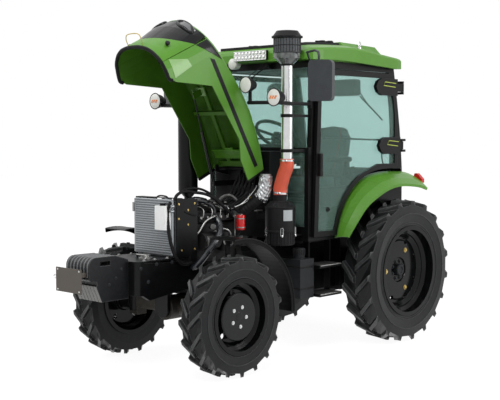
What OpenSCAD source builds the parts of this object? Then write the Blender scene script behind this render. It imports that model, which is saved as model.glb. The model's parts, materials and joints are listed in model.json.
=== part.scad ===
// Four-wheel-drive farm tractor with a closed cab, parked with its hood tipped up.
// Millimetres, +Z up, the front looks along -Y, the left side is +X.
// Lengths along the tractor are measured from the rear axle.

/* [Wheels] */
// Distance between the front and the rear axle
wheelbase = 1920; // [1860:5:2000]
// Distance between the middles of the rear tyres
rear_track = 1386; // [1370:2:1440]
// Distance between the middles of the front tyres
front_track = 1204; // [1190:2:1250]
// Diameter of a rear tyre over its lugs
rear_tyre_d = 1205; // [1180:5:1225]
// Width of a rear tyre
rear_tyre_w = 284; // [270:2:296]
// Diameter of a rear rim where the tyre sits
rear_rim_d = 711; // [680:1:740]
// Diameter of a front tyre over its lugs
front_tyre_d = 888; // [870:2:904]
// Width of a front tyre
front_tyre_w = 211; // [200:1:222]
// Diameter of a front rim where the tyre sits
front_rim_d = 508; // [490:1:530]
// Sheet thickness of the rims
rim_t = 8; // [6:0.5:12]
// Radius of the rear axle shafts
rear_shaft_r = 42; // [36:1:48]
// Radius of the front wheel spindles
spindle_r = 34; // [28:1:40]

/* [Steering] */
// Distance from a front tyre's middle in to its steering pivot
kingpin_inset = 142; // [134:1:150]
// Radius of a steering pivot
kingpin_r = 25; // [20:1:30]
// Length of a steering arm, pivot to tie rod
steer_arm = 175; // [165:1:185]
// Radius of the tie rod
tie_r = 14; // [10:1:18]

/* [Cab] */
// Width of the cab over its pillars
cab_w = 1100; // [1080:5:1120]
// Front of the cab pillars, ahead of the rear axle
cab_front = 1000; // [980:5:1030]
// Back of the cab, behind the rear axle
cab_rear = 270; // [255:5:285]
// Height of the cab floor's top
floor_z = 930; // [915:5:945]
// Height of the top of the cab frame
cab_top = 2330; // [2300:5:2360]
// Width of a pillar seen from the side
pillar_w = 56; // [46:2:66]
// Width of a pillar seen from the front
pillar_d = 44; // [36:2:52]
// Height of the windscreen's lower edge
screen_z = 1645; // [1620:5:1665]
// Thickness of a door
door_t = 30; // [24:1:36]
// Thickness of the glass
glass_t = 6; // [4:0.5:8]
// Width of the frame around a door's glass
door_rim = 42; // [34:2:50]
// Overhang of the roof beside the pillars
roof_side = 76; // [66:2:90]
// Overhang of the roof ahead of the pillars
roof_nose = 62; // [50:2:70]
// Thickness of the roof at its middle
roof_h = 146; // [134:2:160]

/* [Hood] */
// Width of the hood
hood_w = 560; // [550:2:568]
// Sheet thickness of the hood
hood_t = 8; // [6:0.5:12]
// Opening angle of the hood at rest
hood_angle = 66; // [60:1:68]
// Hood hinge, ahead of the cab pillars
hood_hinge_y = 310; // [300:2:320]
// Height of the hood hinge
hood_hinge_z = 1490; // [1480:2:1500]
// Length of the hood ahead of its hinge
hood_len = 1262; // [1240:2:1270]

/* [Engine bay] */
// Width of the radiator
rad_w = 420; // [400:5:430]
// Height of the radiator
rad_h = 405; // [380:5:420]
// Height of the tray that carries the radiator
tray_z = 850; // [830:5:865]
// Distance from the front axle forward to the radiator's face
rad_ahead = 185; // [175:5:200]
// Width of the front frame
frame_w = 440; // [420:5:450]
// Diameter of the radiator fan
fan_d = 340; // [310:5:360]
// Diameter of the air cleaner
cleaner_d = 236; // [220:2:250]
// Diameter of the intake pipe
intake_d = 90; // [80:2:100]
// Diameter of the muffler
muffler_d = 160; // [140:2:176]

/* [Front weights] */
// Width of one weight
weight_w = 33; // [30:1:35]
// Gap between two weights
weight_gap = 4; // [3:1:6]
// Number of weights
weight_n = 7; // [5:1:7]
// Length of a weight
weight_len = 350; // [320:5:380]

/* [Hitch] */
// Length of a lower link between its eyes
link_len = 720; // [680:5:760]
// Distance between the two lower links
link_span = 640; // [600:5:680]
// Length of a lift arm between its pivots
lift_len = 260; // [240:5:280]
// Radius of the hole in a lower link's eye
link_eye_r = 11.2; // [11:0.1:14.5]
// Radius of the drawbar's pin hole
drawbar_r = 13; // [11:0.5:16]
// Radius of the power take-off stub
pto_r = 17.5; // [17:0.1:22.5]

/* [Hidden] */
$fn = 48;

// Running clearance of shafts and pins, radial
fit = 0.3;
// Clearance between pieces that move past each other
gap = 6;
rear_z = rear_tyre_d / 2;
front_z = front_tyre_d / 2;
front_y = -wheelbase;
pillar_x = cab_w / 2;
cab_y0 = -cab_front;
cab_y1 = cab_rear;
plate_t = 25;
frame_reach = 567;
plate_off = 77;
tow_reach = wheelbase + frame_reach + weight_len + plate_off;
link_pivot = [90, rear_z - 190];
link_tilt = -4;
link_eye_wall = 36;
rear_reach = link_pivot[0] + link_len * cos(link_tilt) + link_eye_wall;
// Puts the origin under the middle of the whole length
shift_y = (tow_reach - rear_reach) / 2;

kingpin_x = front_track / 2 - kingpin_inset;
frame_x = frame_w / 2;
hinge = [cab_y0 - hood_hinge_y, hood_hinge_z];
hood_x = hood_w / 2;
nose_y = hinge[0] - hood_len;
rad_y = front_y - rad_ahead;
door_x = pillar_x + gap;
hinge_x = door_x + door_t + 22;
hinge_y = cab_y1 - 93;
platform_z = floor_z + 220;

// Point helpers
function mix(a, b, t) = a + (b - a) * t;
function bend(p0, p1, p2, p3, t) =
    0.5 * (2 * p1 + (p2 - p0) * t + (2 * p0 - 5 * p1 + 4 * p2 - p3) * t * t
    + (3 * p1 - p0 - 3 * p2 + p3) * t * t * t);
function smooth(pts, n) = [
    for (i = [0 : len(pts) - 2])
        for (k = [0 : n - 1])
            bend(pts[max(i - 1, 0)], pts[i], pts[i + 1], pts[min(i + 2, len(pts) - 1)], k / n),
    pts[len(pts) - 1]
];
function arc(c, r, a0, a1, n) = [
    for (i = [0 : n])
        let (a = mix(a0, a1, i / n))
        c + r * [cos(a), sin(a)]
];
function along(pts, y, i = 0) =
    (i >= len(pts) - 2 || y >= pts[i + 1][0])
        ? mix(pts[i][1], pts[i + 1][1], (y - pts[i][0]) / (pts[i + 1][0] - pts[i][0]))
        : along(pts, y, i + 1);

// Shape helpers
module placed() {
    translate([0, shift_y, 0])
        children();
}

module both_sides() {
    children();
    mirror([1, 0, 0])
        children();
}

// A side outline of [y, z] points, from x0 to x1
module slab(pts, x0, x1) {
    translate([x0, 0, 0])
        rotate([90, 0, 90])
            linear_extrude(x1 - x0)
                polygon(pts);
}

module block(x0, x1, y0, y1, z0, z1) {
    translate([x0, y0, z0])
        cube([x1 - x0, y1 - y0, z1 - z0]);
}

module rod_x(x0, x1, y, z, r) {
    translate([x0, y, z])
        rotate([0, 90, 0])
            cylinder(h = x1 - x0, r = r);
}

module rod_y(y0, y1, x, z, r) {
    translate([x, y1, z])
        rotate([90, 0, 0])
            cylinder(h = y1 - y0, r = r);
}

module rod_z(z0, z1, x, y, r) {
    translate([x, y, z0])
        cylinder(h = z1 - z0, r = r);
}

// A straight bar between two points
module bar(a, b, r) {
    d = b - a;
    l = norm(d);
    translate(a)
        rotate([0, acos(d[2] / l), atan2(d[1], d[0])])
            cylinder(h = l, r = r);
}

// A ring about the wheel's axle, from [across, radius] points
module turned(pts) {
    rotate([0, 90, 0])
        rotate_extrude($fn = 96)
            polygon([for (p = pts) [p[1], p[0]]]);
}

// A skin over closed loops of points, each loop capped from its two ends inwards
module loft(loops) {
    n = len(loops);
    m = len(loops[0]);
    last = (n - 1) * m;
    cap = [
        for (j = [0 : ceil(m / 2) - 2])
            for (t = [[j, j + 1, m - 2 - j], [j, m - 2 - j, m - 1 - j]])
                if (t[1] != t[2]) t
    ];
    skin = [
        for (i = [0 : n - 2])
            for (j = [0 : m - 1])
                let (a = i * m + j, b = i * m + (j + 1) % m)
                for (t = [[a, a + m, b + m], [a, b + m, b]]) t
    ];
    polyhedron(
        points = [for (loop = loops) for (p = loop) p],
        faces = concat(cap, skin, [for (t = cap) [last + t[2], last + t[1], last + t[0]]])
    );
}

// A bent tube along centre points, each ring square to the path
module tube(pts, r, sides) {
    n = len(pts);
    loft([
        for (i = [0 : n - 1])
            let (d = pts[min(i + 1, n - 1)] - pts[max(i - 1, 0)])
            let (u = cross(d, abs(d[1]) > 0.9 * norm(d) ? [1, 0, 0] : [0, 1, 0]))
            let (a = u / norm(u), v = cross(d, a), b = v / norm(v))
            [for (j = [0 : sides - 1]) pts[i] + r * (a * cos(j * 360 / sides) + b * sin(j * 360 / sides))]
    ]);
}

// Wheels
function on_tyre(x, r, a) = [x, r * cos(a), r * sin(a)];
function halves(q) = [[q[0], q[1], q[2]], [q[0], q[2], q[3]]];
function turned_over(faces) = [for (f = faces) [f[2], f[1], f[0]]];

// A tyre with n slanting lugs in each half, the halves set half a pitch apart.
// Rows of points run from the tread's middle to the bead, each as [across, radius, turn].
module tyre(d, w, rim_d, lug, n) {
    r = d / 2;
    pitch = 360 / n;
    foot = 0.32 * pitch;
    bevel = 0.18 * foot;
    slant = -0.64 * pitch;
    bead_r = (rim_d / 2 + fit) / cos((pitch - foot) / 2);
    floor_rows = [
        [w * 0.02, r - lug, 0], [w * 0.47, r - lug * 1.5, slant], [w * 0.5, mix(bead_r, r, 0.5), slant],
        [w * 0.44 + 5.5, bead_r + 40, slant], [w * 0.44, bead_r, slant]
    ];
    crest_rows = [[w * 0.03, r, 0], [w * 0.47, r - lug * 0.36, slant]];
    deep = len(floor_rows);
    size = 2 * (deep + len(crest_rows));
    function half(side, start) = [
        for (i = [0 : n - 1])
            let (a = i * pitch + start)
            for (p = concat(
                [for (q = floor_rows) for (e = [0, foot]) on_tyre(side * q[0], q[1], a + q[2] + e)],
                [
                    for (q = crest_rows)
                        for (e = [bevel, foot - bevel])
                            on_tyre(side * q[0], q[1], a + q[2] + e)
                ]
            )) p
    ];
    function low(i, k) = (i % n) * size + 2 * k;
    function high(i, k) = low(i, k) + 1;
    skin = [
        for (i = [0 : n - 1])
            let (c = deep, o = deep + 1, j = i + 1)
            for (q = concat(
                [
                    [high(i, c), low(i, c), low(i, o), high(i, o)],
                    [low(i, c), low(i, 0), low(i, 1), low(i, o)],
                    [high(i, 0), high(i, c), high(i, o), high(i, 1)],
                    [high(i, 0), low(i, 0), low(i, c), high(i, c)],
                    [high(i, o), low(i, o), low(i, 1), high(i, 1)],
                    [low(j, 0), high(i, 0), high(i, 1), low(j, 1)]
                ],
                [for (k = [1 : deep - 2]) [high(i, k), low(i, k), low(i, k + 1), high(i, k + 1)]],
                [for (k = [1 : deep - 2]) [low(j, k), high(i, k), high(i, k + 1), low(j, k + 1)]]
            ))
                for (t = halves(q)) t
    ];
    other = n * size;
    // The strips that join the halves, at the tread's middle and at the bead
    function joint(k) = [
        for (i = [0 : n - 1])
            let (p = low(i, k), q = high(i, k))
            let (u = other + high(i + n - 1, k), v = other + p, z = other + q)
            for (t = [[u, p, q], [v, u, q], [z, v, q], [z, q, low(i + 1, k)]]) t
    ];
    color("#222426")
        polyhedron(
            points = concat(half(1, 0), half(-1, pitch / 2)),
            faces = concat(
                skin, [for (f = turned_over(skin)) f + [other, other, other]],
                joint(0), turned_over(joint(deep - 1))
            )
        );
}

// Rim barrel with a flange on each side and a drop in the middle
module barrel(rim_d, w) {
    r = rim_d / 2;
    s = w * 0.44;
    turned([
        [-s - 4, r + 24], [-s - 4 - rim_t, r + 24], [-s - 4 - rim_t, r - rim_t], [-s * 0.5, r - rim_t],
        [-s * 0.3, r - 30 - rim_t], [s * 0.3, r - 30 - rim_t], [s * 0.5, r - rim_t],
        [s + 4 + rim_t, r - rim_t], [s + 4 + rim_t, r + 24], [s + 4, r + 24], [s + 4, r], [s * 0.52, r],
        [s * 0.33, r - 30], [-s * 0.33, r - 30], [-s * 0.52, r], [-s - 4, r]
    ]);
}

module rear_rim() {
    r = rear_rim_d / 2;
    color("#17181a")
        difference() {
            union() {
                barrel(rear_rim_d, rear_tyre_w);
                turned([
                    [-20, rear_shaft_r + fit], [6, rear_shaft_r + fit], [6, 98], [20, 106], [20, 246],
                    [10, 258], [10, r - 76], [40, r - 48], [40, r - 32], [28, r - 32], [28, r - 44],
                    [-2, r - 70], [-6, 240], [-6, 150], [-20, 120]
                ]);
            }
            for (i = [0 : 7])
                rotate([i * 45 + 22.5, 0, 0])
                    translate([-60, 250, 0])
                        rotate([0, 90, 0])
                            cylinder(h = 140, r = 20);
        }
}

module front_rim() {
    r = front_rim_d / 2;
    color("#17181a")
        difference() {
            union() {
                barrel(front_rim_d, front_tyre_w);
                turned([
                    [-25, spindle_r + fit], [62, spindle_r + fit], [62, 0.01], [74, 0.01], [74, 122],
                    [66, 132], [10, 138], [2, 146], [2, r - 62], [26, r - 40], [26, r - 32], [14, r - 32],
                    [-10, r - 56], [-10, 100], [-25, 90]
                ]);
            }
            for (i = [0 : 4])
                rotate([i * 72 + 90, 0, 0])
                    translate([-60, r - 86, 0])
                        rotate([0, 90, 0])
                            cylinder(h = 140, r = 20);
        }
}

module rear_tyre() {
    tyre(rear_tyre_d, rear_tyre_w, rear_rim_d, 32, 19);
}

module front_tyre() {
    tyre(front_tyre_d, front_tyre_w, front_rim_d, 26, 18);
}

module at_rear_wheel(side) {
    translate([side * rear_track / 2, 0, rear_z])
        mirror([side < 0 ? 1 : 0, 0, 0])
            children();
}

module at_front_wheel(side) {
    translate([side * front_track / 2, front_y, front_z])
        mirror([side < 0 ? 1 : 0, 0, 0])
            children();
}

// Front axle, knuckles and steering
ear_t = 26;
ear_r = 46;
ear_z0 = front_z - 80;
ear_z1 = front_z + 80;
beam_r = 58;
axle_half = 110;
hanger_t = 32;
arm_y = front_y + steer_arm;
arm_z = front_z - 14;

module front_axle() {
    yoke_x = kingpin_x - 72;
    color("#3a3733") {
        difference() {
            union() {
                rod_x(-yoke_x, yoke_x, front_y, front_z, beam_r);
                rod_y(front_y - axle_half, front_y + axle_half, 0, front_z, 92);
                both_sides() {
                    block(yoke_x - 6, yoke_x + 14, front_y - 44, front_y + 44,
                        ear_z0 - ear_t, ear_z1 + ear_t);
                    for (z = [ear_z0 - ear_t, ear_z1]) {
                        block(yoke_x, kingpin_x, front_y - ear_r, front_y + ear_r, z, z + ear_t);
                        rod_z(z, z + ear_t, kingpin_x, front_y, ear_r);
                    }
                }
            }
            both_sides()
                rod_z(ear_z0 - ear_t - 1, ear_z1 + ear_t + 1, kingpin_x, front_y, kingpin_r + fit);
        }
    }
}

hub_x = front_track / 2 - 32;
guard_r = front_tyre_d / 2 + 116;
guard_t = 6;
strap_y = front_y + 62;

module knuckle(side) {
    color("#26272a")
        mirror([side < 0 ? 1 : 0, 0, 0]) {
            rod_z(ear_z0 + 1, ear_z1 - 1, kingpin_x, front_y, 50);
            rod_z(ear_z0 - ear_t, ear_z1 + ear_t, kingpin_x, front_y, kingpin_r);
            rod_x(kingpin_x, hub_x, front_y, front_z, 74);
            rod_x(kingpin_x, front_track / 2 + 60, front_y, front_z, spindle_r);
            block(kingpin_x - 16, kingpin_x + 16, front_y, arm_y, arm_z, arm_z + 18);
            rod_z(arm_z, arm_z + 18, kingpin_x, arm_y, 26);
            block(kingpin_x, kingpin_x + 28, front_y, strap_y + 40, front_z + 30, front_z + 70);
            block(kingpin_x + 16, kingpin_x + 28, strap_y, strap_y + 40,
                front_z + 30, guard_top(strap_y + 40));
        }
}

function guard_top(y) = front_z + sqrt(pow(guard_r, 2) - pow(y - front_y, 2));

module mudguard(side) {
    x0 = kingpin_x + 16;
    x1 = front_track / 2 + front_tyre_w / 2 + 6;
    c = [front_y, front_z];
    outer = arc(c, guard_r + guard_t, 100, -3, 24);
    inner = arc(c, guard_r, -3, 100, 24);
    lip = arc(c, guard_r - 28, -3, 100, 24);
    color("#1c1d1f")
        mirror([side < 0 ? 1 : 0, 0, 0]) {
            slab(concat(outer, inner), x0, x1);
            slab(concat(outer, lip), x1 - guard_t, x1);
        }
}

module tie_rod() {
    color("#55575a") {
        rod_x(-kingpin_x, kingpin_x, arm_y, arm_z - 16, tie_r);
        both_sides()
            rod_z(arm_z - 32, arm_z - fit, kingpin_x, arm_y, 20);
    }
}

// Front frame, weights and plate
frame_y0 = front_y - frame_reach;
frame_z0 = front_z + 150;
rail_t = 40;
weight_y1 = frame_y0;
weight_y0 = weight_y1 - weight_len;

beam_d = 70;
corner_r = 40;

module front_frame() {
    y0 = frame_y0 + corner_r;
    color("#1d1e20") {
        both_sides()
            slab([
                [y0, frame_z0 + 20], [y0, tray_z - 12], [front_y + 320, tray_z - 60],
                [front_y + 320, frame_z0 + 50], [front_y - 200, frame_z0], [frame_y0 + 120, frame_z0 - 30]
            ], frame_x - rail_t, frame_x);
        translate([0, 0, frame_z0 + 10])
            linear_extrude(tray_z - frame_z0 - 10)
                polygon(concat(
                    arc([frame_x - corner_r, y0], corner_r, -90, 0, 6),
                    [[frame_x, frame_y0 + beam_d], [-frame_x, frame_y0 + beam_d]],
                    arc([-frame_x + corner_r, y0], corner_r, 180, 270, 6)
                ));
        block(-frame_x, frame_x, y0, front_y - 60, tray_z - 12, tray_z);
        for (y = [front_y - axle_half - hanger_t, front_y + axle_half]) {
            block(-frame_x + rail_t, frame_x - rail_t, y, y + hanger_t, frame_z0, frame_z0 + 48);
            block(-70, 70, y, y + hanger_t, front_z, frame_z0 + 30);
            rod_y(y, y + hanger_t, 0, front_z, 70);
        }
    }
}

module front_weights() {
    pitch = weight_w + weight_gap;
    half = pitch * (weight_n - 1) / 2;
    y0 = weight_y0;
    h0 = frame_z0 - 11;
    h1 = tray_z + 50;
    outline = concat(
        [[weight_y1, h0], [weight_y1, h1 - 35], [weight_y1 - 115, h1]],
        arc([y0 + 65, h1 - 65], 65, 90, 180, 8),
        [
            [y0, h1 - 150], [y0 + 18, h1 - 165], [y0 + 70, h1 - 170], [y0 + 75, h1 - 195],
            [y0 + 62, h0 + 115], [y0 + 112, h0]
        ]
    );
    color("#2b2c2f") {
        difference() {
            for (i = [0 : weight_n - 1])
                slab(outline, i * pitch - half - weight_w / 2, i * pitch - half + weight_w / 2);
            block(-half - weight_w, half + weight_w, y0 + 100, y0 + 190, h1 - 62, h1 - 32);
        }
        rod_x(-half, half, weight_y1 - 130, h1 - 140, 14);
    }
}

plate_size = [284, 168];

module front_plate() {
    z1 = tray_z - 21;
    w = plate_size[0] / 2;
    back = weight_y0 - plate_off + 6;
    color("#4a3a30") {
        block(-w, w, weight_y0 - plate_off, back, z1 - plate_size[1], z1);
        for (s = [-1, 1])
            block(s * 90 - 12, s * 90 + 12, back, weight_y0, z1 - 60, z1 - 30);
    }
}

// Engine and what stands round it
eng_y0 = front_y + 40;
bell_t = 55;
cowl_y = cab_y0 - 180;
eng_y1 = cowl_y - 185 - bell_t;
eng_z0 = frame_z0 + 56;
eng_z1 = eng_z0 + 420;
fan_z = tray_z + rad_h / 2;
fan_y = rad_y + 118;
fan_shaft_r = 18;
function eng_at(t) = mix(eng_y0, eng_y1, t);

module engine() {
    rail_x = frame_x - rail_t;
    color("#3b3d40") {
        block(-150, 150, eng_y0, eng_y1, eng_z0, eng_z1);
        block(-118, 118, eng_y0 + 15, eng_y1 - 15, eng_z1, eng_z1 + 95);
        slab(concat(
            arc([eng_y0 + 70, eng_z1 + 130], 30, 180, 90, 5),
            arc([eng_y1 - 70, eng_z1 + 130], 30, 90, 0, 5),
            [[eng_y1 - 40, eng_z1 + 95], [eng_y0 + 40, eng_z1 + 95]]
        ), -82, 82);
        slab([
            [eng_at(0.28), eng_z0], [eng_at(0.3), eng_z0 - 150], [eng_y1 - 10, eng_z0 - 175],
            [eng_y1, eng_z0]
        ], -130, 130);
        rod_y(eng_y1, eng_y1 + bell_t, 0, eng_z0 + 110, 186);
        block(-140, 140, eng_y0 - 36, eng_y0, eng_z0 + 20, eng_z1 - 10);
        rod_y(fan_y - 12, eng_y0 - 36, 0, fan_z, fan_shaft_r);
        rod_y(eng_y0 - 64, eng_y0 - 40, 0, fan_z, 62);
        both_sides()
            block(150, rail_x, eng_at(0.26), eng_at(0.56), eng_z0 + 10, eng_z0 + 50);
        rod_y(eng_at(0.07), eng_at(0.43), 205, eng_z0 + 300, 62);
        block(150, 205, eng_at(0.13), eng_at(0.37), eng_z0 + 270, eng_z0 + 330);
        rod_z(eng_z0 + 210, eng_z0 + 350, 188, eng_at(0.65), 40);
        block(118, 178, eng_y0 + 40, eng_y1 - 40, eng_z1 + 20, eng_z1 + 80);
        block(-178, -118, eng_y0 + 40, eng_y1 - 40, eng_z1 + 10, eng_z1 + 75);
    }
}

module fan() {
    color("#141517") {
        difference() {
            union() {
                rod_y(fan_y - 22, fan_y + 22, 0, fan_z, 48);
                for (i = [0 : 6])
                    translate([0, fan_y, fan_z])
                        rotate([0, i * 360 / 7, 0])
                            rotate([0, 0, 28])
                                translate([-26, -3, 30])
                                    cube([52, 6, fan_d / 2 - 32]);
            }
            rod_y(fan_y - 12 - fit, fan_y + 30, 0, fan_z, fan_shaft_r + fit);
        }
    }
}

module radiator() {
    color("#b9bdc0") {
        block(-rad_w / 2, rad_w / 2, rad_y, rad_y + 62, tray_z, tray_z + rad_h);
        block(-rad_w / 2 + 8, rad_w / 2 - 8, rad_y - 34, rad_y - 12, tray_z + 20, tray_z + rad_h + 12);
        both_sides()
            for (z = [tray_z + 60, tray_z + rad_h - 60])
                block(rad_w / 2 - 26, rad_w / 2 - 14, rad_y - 12, rad_y, z, z + 30);
        rod_z(tray_z + rad_h, tray_z + rad_h + 22, 60, rad_y + 34, 26);
    }
}

module radiator_shroud() {
    y1 = rad_y + 205;
    ring_r = fan_d / 2 + 14;
    color("#141416") {
        both_sides()
            slab([
                [rad_y - 4, tray_z], [rad_y - 4, tray_z + rad_h + 28], [y1, tray_z + rad_h + 16],
                [y1, tray_z - 50], [rad_y + 130, tray_z - 50], [rad_y + 130, tray_z]
            ], max(rad_w / 2, frame_x) + fit, max(rad_w / 2, frame_x) + 8);
        block(-max(rad_w / 2, frame_x) - 2, max(rad_w / 2, frame_x) + 2, rad_y + 10, rad_y + 60,
            tray_z + rad_h + 12 + 12, tray_z + rad_h + 28);
        difference() {
            union() {
                block(-rad_w / 2, rad_w / 2, rad_y + 62, rad_y + 74, tray_z, tray_z + rad_h);
                rod_y(rad_y + 74, rad_y + 180, 0, fan_z, ring_r + 8);
            }
            rod_y(rad_y + 60, rad_y + 190, 0, fan_z, ring_r);
        }
    }
}

module radiator_hoses() {
    shroud_y = rad_y + 74 + fit;
    top = tray_z + rad_h - 30;
    color("#17181a") {
        tube(concat(
            [[150, shroud_y, top]],
            smooth([
                [150, shroud_y + 15, top], [150, mix(shroud_y, eng_y0, 0.5), top + 12],
                [150, eng_at(0.05), top + 36], [150, eng_at(0.3), top + 18], [149, eng_at(0.45), top - 20],
                [148, eng_at(0.5), eng_z1 + 100]
            ], 3),
            [[148, eng_at(0.5), eng_z1 + 80 + fit]]
        ), 22, 12);
        tube(concat(
            [[frame_x + fit, front_y - 30, tray_z - 85]],
            smooth([
                [frame_x + 18, front_y - 30, tray_z - 85], [frame_x + 50, front_y - 14, tray_z - 60],
                [frame_x + 82, eng_at(0.04), tray_z + 30], [frame_x + 82, eng_at(0.26), tray_z + 130],
                [frame_x + 46, eng_at(0.39), tray_z + 206], [215, eng_at(0.41), eng_z1 + 46],
                [196, eng_at(0.41), eng_z1 + 50]
            ], 3),
            [[178 + fit, eng_at(0.41), eng_z1 + 50]]
        ), 25, 12);
    }
}

module coolant_bottle() {
    color("#e8ebea")
        union() {
            block(90, 200, rad_y - 96, rad_y - 36, tray_z + 205, tray_z + 380);
            rod_z(tray_z + 380, tray_z + 398, 145, rad_y - 66, 22);
            block(150, 190, rad_y - 40, rad_y - 34, tray_z + 240, tray_z + 340);
        }
}

// Air intake and exhaust
cleaner = [420, cab_y0 - 190];
cleaner_z = 890;
intake = [478, cab_y0 - 178];
intake_z0 = 1560;
intake_z1 = 2290;

module air_cleaner() {
    color("#18191b") {
        rod_z(cleaner_z, cleaner_z + 110, cleaner[0], cleaner[1], cleaner_d / 2 - 6);
        rod_z(cleaner_z + 110, cleaner_z + 300, cleaner[0], cleaner[1], cleaner_d / 2);
        translate([cleaner[0], cleaner[1], cleaner_z + 300])
            cylinder(h = 42, r1 = cleaner_d / 2 - 4, r2 = 66);
        rod_z(cleaner_z + 342, cleaner_z + 390, cleaner[0], cleaner[1], 52);
        block(cleaner[0] - 60, cleaner[0] + 60, cleaner[1], cab_y0 - fit, cleaner_z + 60, cleaner_z + 72);
        rod_x(cleaner[0] - cleaner_d / 2 - 60, cleaner[0], cleaner[1] - 42, cleaner_z + 220, 36);
    }
}

module intake_hose() {
    z0 = cleaner_z + 390 + fit;
    z1 = intake_z0 - fit;
    low = [cleaner[0], cleaner[1], z0];
    high = [intake[0], intake[1], z1];
    up = [0, 0, 20];
    color("#d9482b")
        tube(concat(
            [low],
            smooth([low + up, low + 2.5 * up, mix(low, high, 0.55), high - 3 * up, high - up], 4),
            [high]
        ), 54, 16);
}

module intake_pipe() {
    clamps = [[intake_z0 + 50, cab_y0], [intake_z0 + 320, pillar_face(intake_z0 + 320)]];
    color("#c8cacb") {
        rod_z(intake_z0, intake_z1, intake[0], intake[1], intake_d / 2);
        for (c = clamps) {
            rod_z(c[0], c[0] + 26, intake[0], intake[1], intake_d / 2 + 6);
            block(pillar_x - pillar_d, pillar_x - pillar_d + 14, intake[1], c[1] - fit, c[0] + 2, c[0] + 24);
            block(intake[0], pillar_x - pillar_d + 14, intake[1] - 7, intake[1] + 7, c[0] + 2, c[0] + 24);
        }
    }
}

module pre_cleaner() {
    color("#2a2c2f") {
        translate([intake[0], intake[1], intake_z1]) {
            cylinder(h = 40, r1 = intake_d / 2 + 8, r2 = 92);
            translate([0, 0, 40])
                cylinder(h = 45, r1 = 100, r2 = 104);
            translate([0, 0, 85])
                cylinder(h = 115, r = 104);
            translate([0, 0, 200])
                cylinder(h = 12, r = 120);
            translate([0, 0, 212])
                cylinder(h = 40, r1 = 112, r2 = 84);
        }
    }
}

foil_top = [332, cab_y0 - 262];

module foil_duct() {
    port = [165, eng_y1 - 40 + fit, eng_z1 + 50];
    color("#c4c7c8")
        tube(concat(
            [port],
            smooth([
                port + [0, 12, 0], port + [0, 35, 0], port + [18, 75, 14], [222, foil_top[1] - 90, 1172],
                [272, foil_top[1] - 56, 1215], [312, foil_top[1] - 23, 1258],
                [foil_top[0] - 2, foil_top[1] - 4, 1300], [foil_top[0], foil_top[1], 1345],
                [foil_top[0], foil_top[1], 1420]
            ], 3),
            [[foil_top[0], foil_top[1], 1440]]
        ), 44, 14);
}

exhaust_x = -402;
exhaust_y = eng_y1 + 20;
muffler_z0 = 1290;
muffler_z1 = 1960;
stack_z1 = 2330;

module exhaust() {
    x = exhaust_x;
    y = exhaust_y;
    port = [eng_y1 - 80, eng_z1 + 42];
    color("#1b1b1d") {
        rod_z(muffler_z0, muffler_z1, x, y, muffler_d / 2);
        translate([x, y, muffler_z1])
            cylinder(h = 50, r1 = muffler_d / 2, r2 = 36);
        rod_z(muffler_z1 + 50, stack_z1, x, y, 34);
        translate([x, y, muffler_z0 - 50])
            cylinder(h = 50, r1 = 36, r2 = muffler_d / 2);
        rod_z(port[1], muffler_z0 - 50, x, y, 32);
        translate([x, y, port[1]])
            sphere(r = 32);
        rod_y(port[0], y, x, port[1], 32);
        translate([x, port[0], port[1]])
            sphere(r = 32);
        rod_x(x, -178 - fit, port[0], port[1], 32);
        block(x - 12, x + 12, y, cab_y0 - fit, screen_z - 36, screen_z - 10);
    }
}

// Gearbox, rear axle and hitch
module gearbox() {
    y0 = eng_y1 + bell_t;
    color("#2a2a2c")
        difference() {
            union() {
                block(-140, 140, y0, -700, rear_z - 120, rear_z + 220);
                block(-185, 185, -700, -190, rear_z - 170, rear_z + 235);
                block(-230, 230, -190, 240, rear_z - 200, rear_z + 250);
                block(-150, 150, -120, 240, rear_z + 250, rear_z + 350);
                block(-90, 90, 240, 268, rear_z - 90, rear_z + 130);
                both_sides()
                    block(80, 130, cab_y0 + 80, cab_y0 + 140, rear_z + 220, floor_z - plate_t);
            }
            rod_x(-400, 400, arm_pivot[0], arm_pivot[1], rock_r + fit);
        }
}

trumpet_x1 = rear_track / 2 - 60;

module rear_axle() {
    color("#2a2a2c")
        both_sides() {
            rod_x(230, 340, 0, rear_z, 165);
            rod_x(340, trumpet_x1, 0, rear_z, 98);
            rod_x(trumpet_x1, trumpet_x1 + 35, 0, rear_z, 88);
            rod_x(trumpet_x1 + 35, rear_track / 2 + 16, 0, rear_z, rear_shaft_r);
            block(390, 450, -40, 40, rear_z + 60, platform_z - plate_t);
        }
}

bar_z = rear_z - 245;
bar_t = 28;
drawbar_y = 560;
top_ear = 36;
top_pin_r = 9.65;

module drawbar() {
    color("#222325")
        difference() {
            union() {
                block(-30, 30, -420, drawbar_y, bar_z, bar_z + bar_t);
                rod_z(bar_z, bar_z + bar_t, 0, drawbar_y, 38);
                block(-90, 90, 120, 240, bar_z + bar_t, rear_z - 200);
                block(-60, 60, -420, -380, bar_z + bar_t, rear_z - 170);
                rod_y(268, 345, 0, rear_z - 20, pto_r);
                both_sides() {
                    block(top_ear - 12, top_ear, 268, 330, rear_z + 30, rear_z + 120);
                    rod_x(230, link_x - link_half - gap, link_pivot[0], link_pivot[1], 24);
                    rod_x(230, link_x + link_half + 4, link_pivot[0], link_pivot[1], link_pin_r);
                }
            }
            rod_z(bar_z - 1, bar_z + bar_t + 1, 0, drawbar_y, drawbar_r);
            rod_x(-top_ear - 1, top_ear + 1, 302, rear_z + 80, top_pin_r);
        }
}

// Lift arms, rods and lower links make a parallelogram seen from the side
link_x = link_span / 2;
link_half = 14;
link_pin_r = 14;
rod_t = 16;
rod_x0 = link_x - link_half - gap - rod_t;
lift_x = rod_x0 - 28;
rock_r = 30;
pin_r = 12;
arm_pivot = [170, rear_z + 300];
link_dir = [cos(link_tilt), sin(link_tilt)];
arm_tip = arm_pivot + lift_len * link_dir;
rod_foot = link_pivot + lift_len * link_dir;
link_end = link_pivot + link_len * link_dir;

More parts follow.
